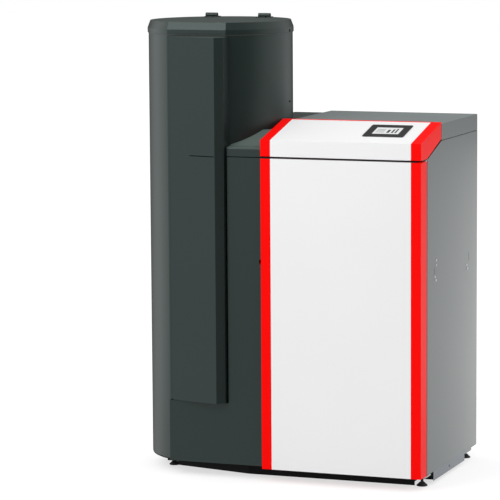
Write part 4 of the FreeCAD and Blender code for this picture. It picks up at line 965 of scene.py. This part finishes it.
class BOILER_OT_feet(bpy.types.Operator):
    """Levelling feet: pad, stud and locknut"""
    bl_idname = "boiler.feet"
    bl_label = "Levelling feet"

    def execute(self, context):
        size = fasteners()
        spots = solids_of("levelling_feet")
        tall = spots[0][1].z
        places = []
        nut_places = []
        for low, high in spots:
            spot = Vector(((low.x + high.x) / 2, (low.y + high.y) / 2, low.z))
            places.append((spot, UP))
            nut_places.append((spot + UP * (tall - NUT_HEIGHT), UP))
        foot = self.turned_foot(size, tall)
        feet = put_copies(foot, places, "levelling_feet_turned", BODY_OF["levelling_feet"], "rubber")
        bpy.data.objects.remove(foot)
        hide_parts("levelling_feet")
        nut = self.locknut(NUT_SHARE * size.stud)
        put_copies(nut, nut_places, "levelling_nuts", BODY_OF["levelling_feet"], "turned_steel")
        bpy.data.objects.remove(nut)
        return {"FINISHED"}

    def turned_foot(self, size, tall):
        """Pad and stud, drawn up from a disc step by step."""
        profile = []
        for part, share, extra, height in FOOT_PROFILE:
            profile.append((share * getattr(size, part) + extra * MM, height * MM))
        profile.append((size.stud, tall))
        foot = fresh(bpy.ops.mesh.primitive_circle_add, vertices=FOOT_SIDES, radius=profile[0][0],
                     fill_type="NGON")
        in_edit(foot)
        bpy.ops.mesh.select_all(action="SELECT")
        for (radius, height), (next_radius, next_height) in zip(profile, profile[1:]):
            growth = next_radius / radius
            bpy.ops.mesh.extrude_region_move(TRANSFORM_OT_translate={"value": (0, 0, next_height - height)})
            bpy.ops.transform.resize(value=(growth, growth, 1.0))
        bpy.ops.mesh.select_all(action="SELECT")
        bpy.ops.mesh.normals_make_consistent(inside=False)
        out_of_edit()
        smooth(foot)
        return foot

    def locknut(self, radius):
        nut = fresh(bpy.ops.mesh.primitive_cylinder_add, vertices=NUT_SIDES, radius=radius, depth=NUT_HEIGHT)
        in_edit(nut)
        bpy.ops.mesh.select_all(action="SELECT")
        bpy.ops.transform.translate(value=(0, 0, NUT_HEIGHT / 2))
        bpy.ops.mesh.bevel(offset=NUT_EDGE, segments=NUT_STEPS, affect="EDGES")
        out_of_edit()
        smooth(nut)
        return nut


class BOILER_OT_fasteners(bpy.types.Operator):
    """Panel screws on the right side and on the hopper shells"""
    bl_idname = "boiler.fasteners"
    bl_label = "Panel screws"

    def execute(self, context):
        size = fasteners()
        pattern = screw_head(size.head, size.height, size.socket)
        places = []
        for low, high in solids_of("side_panel_screws"):
            spot = Vector((low.x, (low.y + high.y) / 2, (low.z + high.z) / 2))
            places.append((spot, Vector((1, 0, 0))))
        made = put_copies(pattern, places, "side_screw_heads", "casing", "bright_steel")
        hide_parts("side_panel_screws")
        axis_x, axis_y = hopper_axis()
        places = []
        for low, high in solids_of("shell_screws"):
            middle = (low + high) / 2
            out = Vector((middle.x - axis_x, middle.y - axis_y, 0)).normalized()
            places.append((middle - out * (SHELL_SCREW_SINK_SHARE * size.height), out))
        made = put_copies(pattern, places, "shell_screw_heads", "casing", "black_paint")
        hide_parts("shell_screws")
        bpy.data.objects.remove(pattern)
        return {"FINISHED"}


class BOILER_OT_behind_door(bpy.types.Operator):
    """What shows behind the open door: inner front, fire door, switch and thermostat"""
    bl_idname = "boiler.behind_door"
    bl_label = "Behind the door"

    def execute(self, context):
        soften_sheets(["inner_front_panel"])
        soften_solids(["fire_door"], CASTING_EDGE)
        soften_solids(["fire_door_handle", "switch_frame", "switch_rocker", "safety_thermostat"])
        return {"FINISHED"}


class BOILER_OT_works(bpy.types.Operator):
    """Boiler body, burner, feed screw and their drives"""
    bl_idname = "boiler.works"
    bl_label = "Inner works"

    def execute(self, context):
        dress_nodes(["boiler_body", "boiler_lagging", "heat_exchanger", "burner_pot", "ash_box"])
        dress_nodes(["control_box", "feed_tube", "feed_bearing", "feed_auger", "auger_gearmotor"])
        return {"FINISHED"}


class BOILER_OT_back(bpy.types.Operator):
    """Fan, flue, water connections and cable gland at the back"""
    bl_idname = "boiler.back"
    bl_label = "Back"

    def execute(self, context):
        dress_nodes(["smoke_box", "fan_housing", "fan_wheel", "fan_motor"])
        soften_solids(["flue_spigot", "flow_connection", "return_connection", "drain_valve", "cable_gland"])
        return {"FINISHED"}


class BOILER_OT_stage(bpy.types.Operator):
    """Floor, studio light and camera"""
    bl_idname = "boiler.stage"
    bl_label = "Stage"

    def execute(self, context):
        self.floor()
        self.studio(context.scene)
        self.lamps(context.scene)
        self.camera(context.scene)
        context.scene.view_settings.view_transform = "Standard"
        return {"FINISHED"}

    def floor(self):
        """A pale floor that lets reflections through to the studio."""
        floor = fresh(bpy.ops.mesh.primitive_plane_add, size=FLOOR_SIZE)
        floor.name = "studio_floor"
        material, f = new_finish("studio_floor")
        path = f.node("ShaderNodeLightPath")
        glow = Level(f, path.outputs["Is Camera Ray"]) * FLOOR_GLOW
        cloth = f.node("ShaderNodeBsdfDiffuse", None, {"Color": f.colour(FLOOR_GREY)})
        lift = f.node("ShaderNodeEmission", None, {"Color": f.colour(WHITE), "Strength": glow})
        both = f.node("ShaderNodeAddShader", None, {0: cloth.outputs[0], 1: lift.outputs[0]})
        clear = f.node("ShaderNodeBsdfTransparent")
        sockets = {0: path.outputs["Is Glossy Ray"], 1: both.outputs[0], 2: clear.outputs[0]}
        shown = f.node("ShaderNodeMixShader", None, sockets)
        f.node("ShaderNodeOutputMaterial", None, {"Surface": shown.outputs[0]})
        floor.data.materials.append(material)

    def studio(self, scene):
        """White for the camera, darker at two sides in reflections, and even light with two brighter sides."""
        v = scene.boiler_stage
        world = bpy.data.worlds.new("studio")
        world.use_nodes = True
        scene.world = world
        f = Finish(world.node_tree)
        path = f.node("ShaderNodeLightPath")
        towards = f.node("ShaderNodeTexCoord").outputs["Generated"]
        seen = Level(f, path.outputs["Is Camera Ray"])
        through = Level(f, path.outputs["Is Transmission Ray"])
        glossy = Level(f, path.outputs["Is Glossy Ray"])
        plain = seen.at_least(through).at_least(glossy)
        sides = {}
        for name, direction, start, full in STUDIO_SIDES:
            sides[name] = self.side(f, towards, direction, start, full) * getattr(v, name)
        dark = sides["dim_front"] + sides["dim_back"]
        light = v.ambient + sides["right"] + sides["above"]
        strength = plain * (1.0 - glossy * dark) + (1.0 - plain) * light
        back = f.node("ShaderNodeBackground", None, {"Color": f.colour(WHITE), "Strength": strength})
        f.node("ShaderNodeOutputWorld", None, {"Surface": back.outputs[0]})

    def side(self, f, towards, direction, start, full):
        """One for the directions near the given one, falling to nothing away from it."""
        facing = tuple(Vector(direction).normalized())
        dot = f.node("ShaderNodeVectorMath", {"operation": "DOT_PRODUCT"}, {0: towards, 1: facing})
        return Level(f, dot.outputs["Value"]).from_to(start, full)

    def lamps(self, scene):
        for name, outline, size, place, aim in LAMPS:
            lamp = bpy.data.lights.new(name, "AREA")
            lamp.shape = outline
            lamp.size, lamp.size_y = size
            lamp.energy = getattr(scene.boiler_stage, name)
            holder = bpy.data.objects.new(name, lamp)
            scene.collection.objects.link(holder)
            holder.location = place
            holder.rotation_euler = (Vector(aim) - Vector(place)).to_track_quat("-Z", "Y").to_euler()
            holder.visible_camera = False

    def camera(self, scene):
        v = scene.boiler_stage
        data = bpy.data.cameras.new("photo_view")
        data.lens = v.lens
        data.sensor_width = SENSOR_WIDTH
        data.clip_end = CLIP_END
        camera = bpy.data.objects.new("photo_view", data)
        scene.collection.objects.link(camera)
        turn = Matrix.Rotation(v.yaw, 4, "Z") @ Matrix.Rotation(math.pi / 2 + v.pitch, 4, "X")
        turn = turn @ Matrix.Rotation(v.roll, 4, "Z")
        camera.matrix_world = Matrix.Translation(Vector(v.place)) @ turn
        scene.camera = camera


PIECES = (BOILER_OT_hopper, BOILER_OT_hopper_lid, BOILER_OT_casing, BOILER_OT_door, BOILER_OT_console,
          BOILER_OT_feet, BOILER_OT_fasteners, BOILER_OT_behind_door, BOILER_OT_works, BOILER_OT_back,
          BOILER_OT_stage)
GROUPS = (("boiler_sheets", SheetSizes), ("boiler_fasteners", FastenerSizes), ("boiler_colours", Colours),
          ("boiler_stage", StageValues))


class BOILER_PT_panel(bpy.types.Panel):
    """Sizes, colours and pieces of the boiler"""
    bl_idname = "BOILER_PT_panel"
    bl_label = "Pellet boiler"
    bl_space_type = "VIEW_3D"
    bl_region_type = "UI"
    bl_category = "Boiler"

    def draw(self, context):
        layout = self.layout
        for name, group in GROUPS:
            box = layout.box()
            for prop in group.__annotations__:
                box.prop(getattr(context.scene, name), prop)
        for piece in PIECES:
            layout.operator(piece.bl_idname)


def register():
    for name, group in GROUPS:
        bpy.utils.register_class(group)
        setattr(bpy.types.Scene, name, bpy.props.PointerProperty(type=group))
    for piece in PIECES:
        bpy.utils.register_class(piece)
    bpy.utils.register_class(BOILER_PT_panel)


def unregister():
    bpy.utils.unregister_class(BOILER_PT_panel)
    for piece in reversed(PIECES):
        bpy.utils.unregister_class(piece)
    for name, group in reversed(GROUPS):
        delattr(bpy.types.Scene, name)
        bpy.utils.unregister_class(group)


def main():
    register()
    bpy.ops.boiler.hopper()
    bpy.ops.boiler.hopper_lid()
    bpy.ops.boiler.casing()
    bpy.ops.boiler.door()
    bpy.ops.boiler.console()
    bpy.ops.boiler.feet()
    bpy.ops.boiler.fasteners()
    bpy.ops.boiler.behind_door()
    bpy.ops.boiler.works()
    bpy.ops.boiler.back()
    bpy.ops.boiler.stage()


if __name__ == "__main__":
    main()
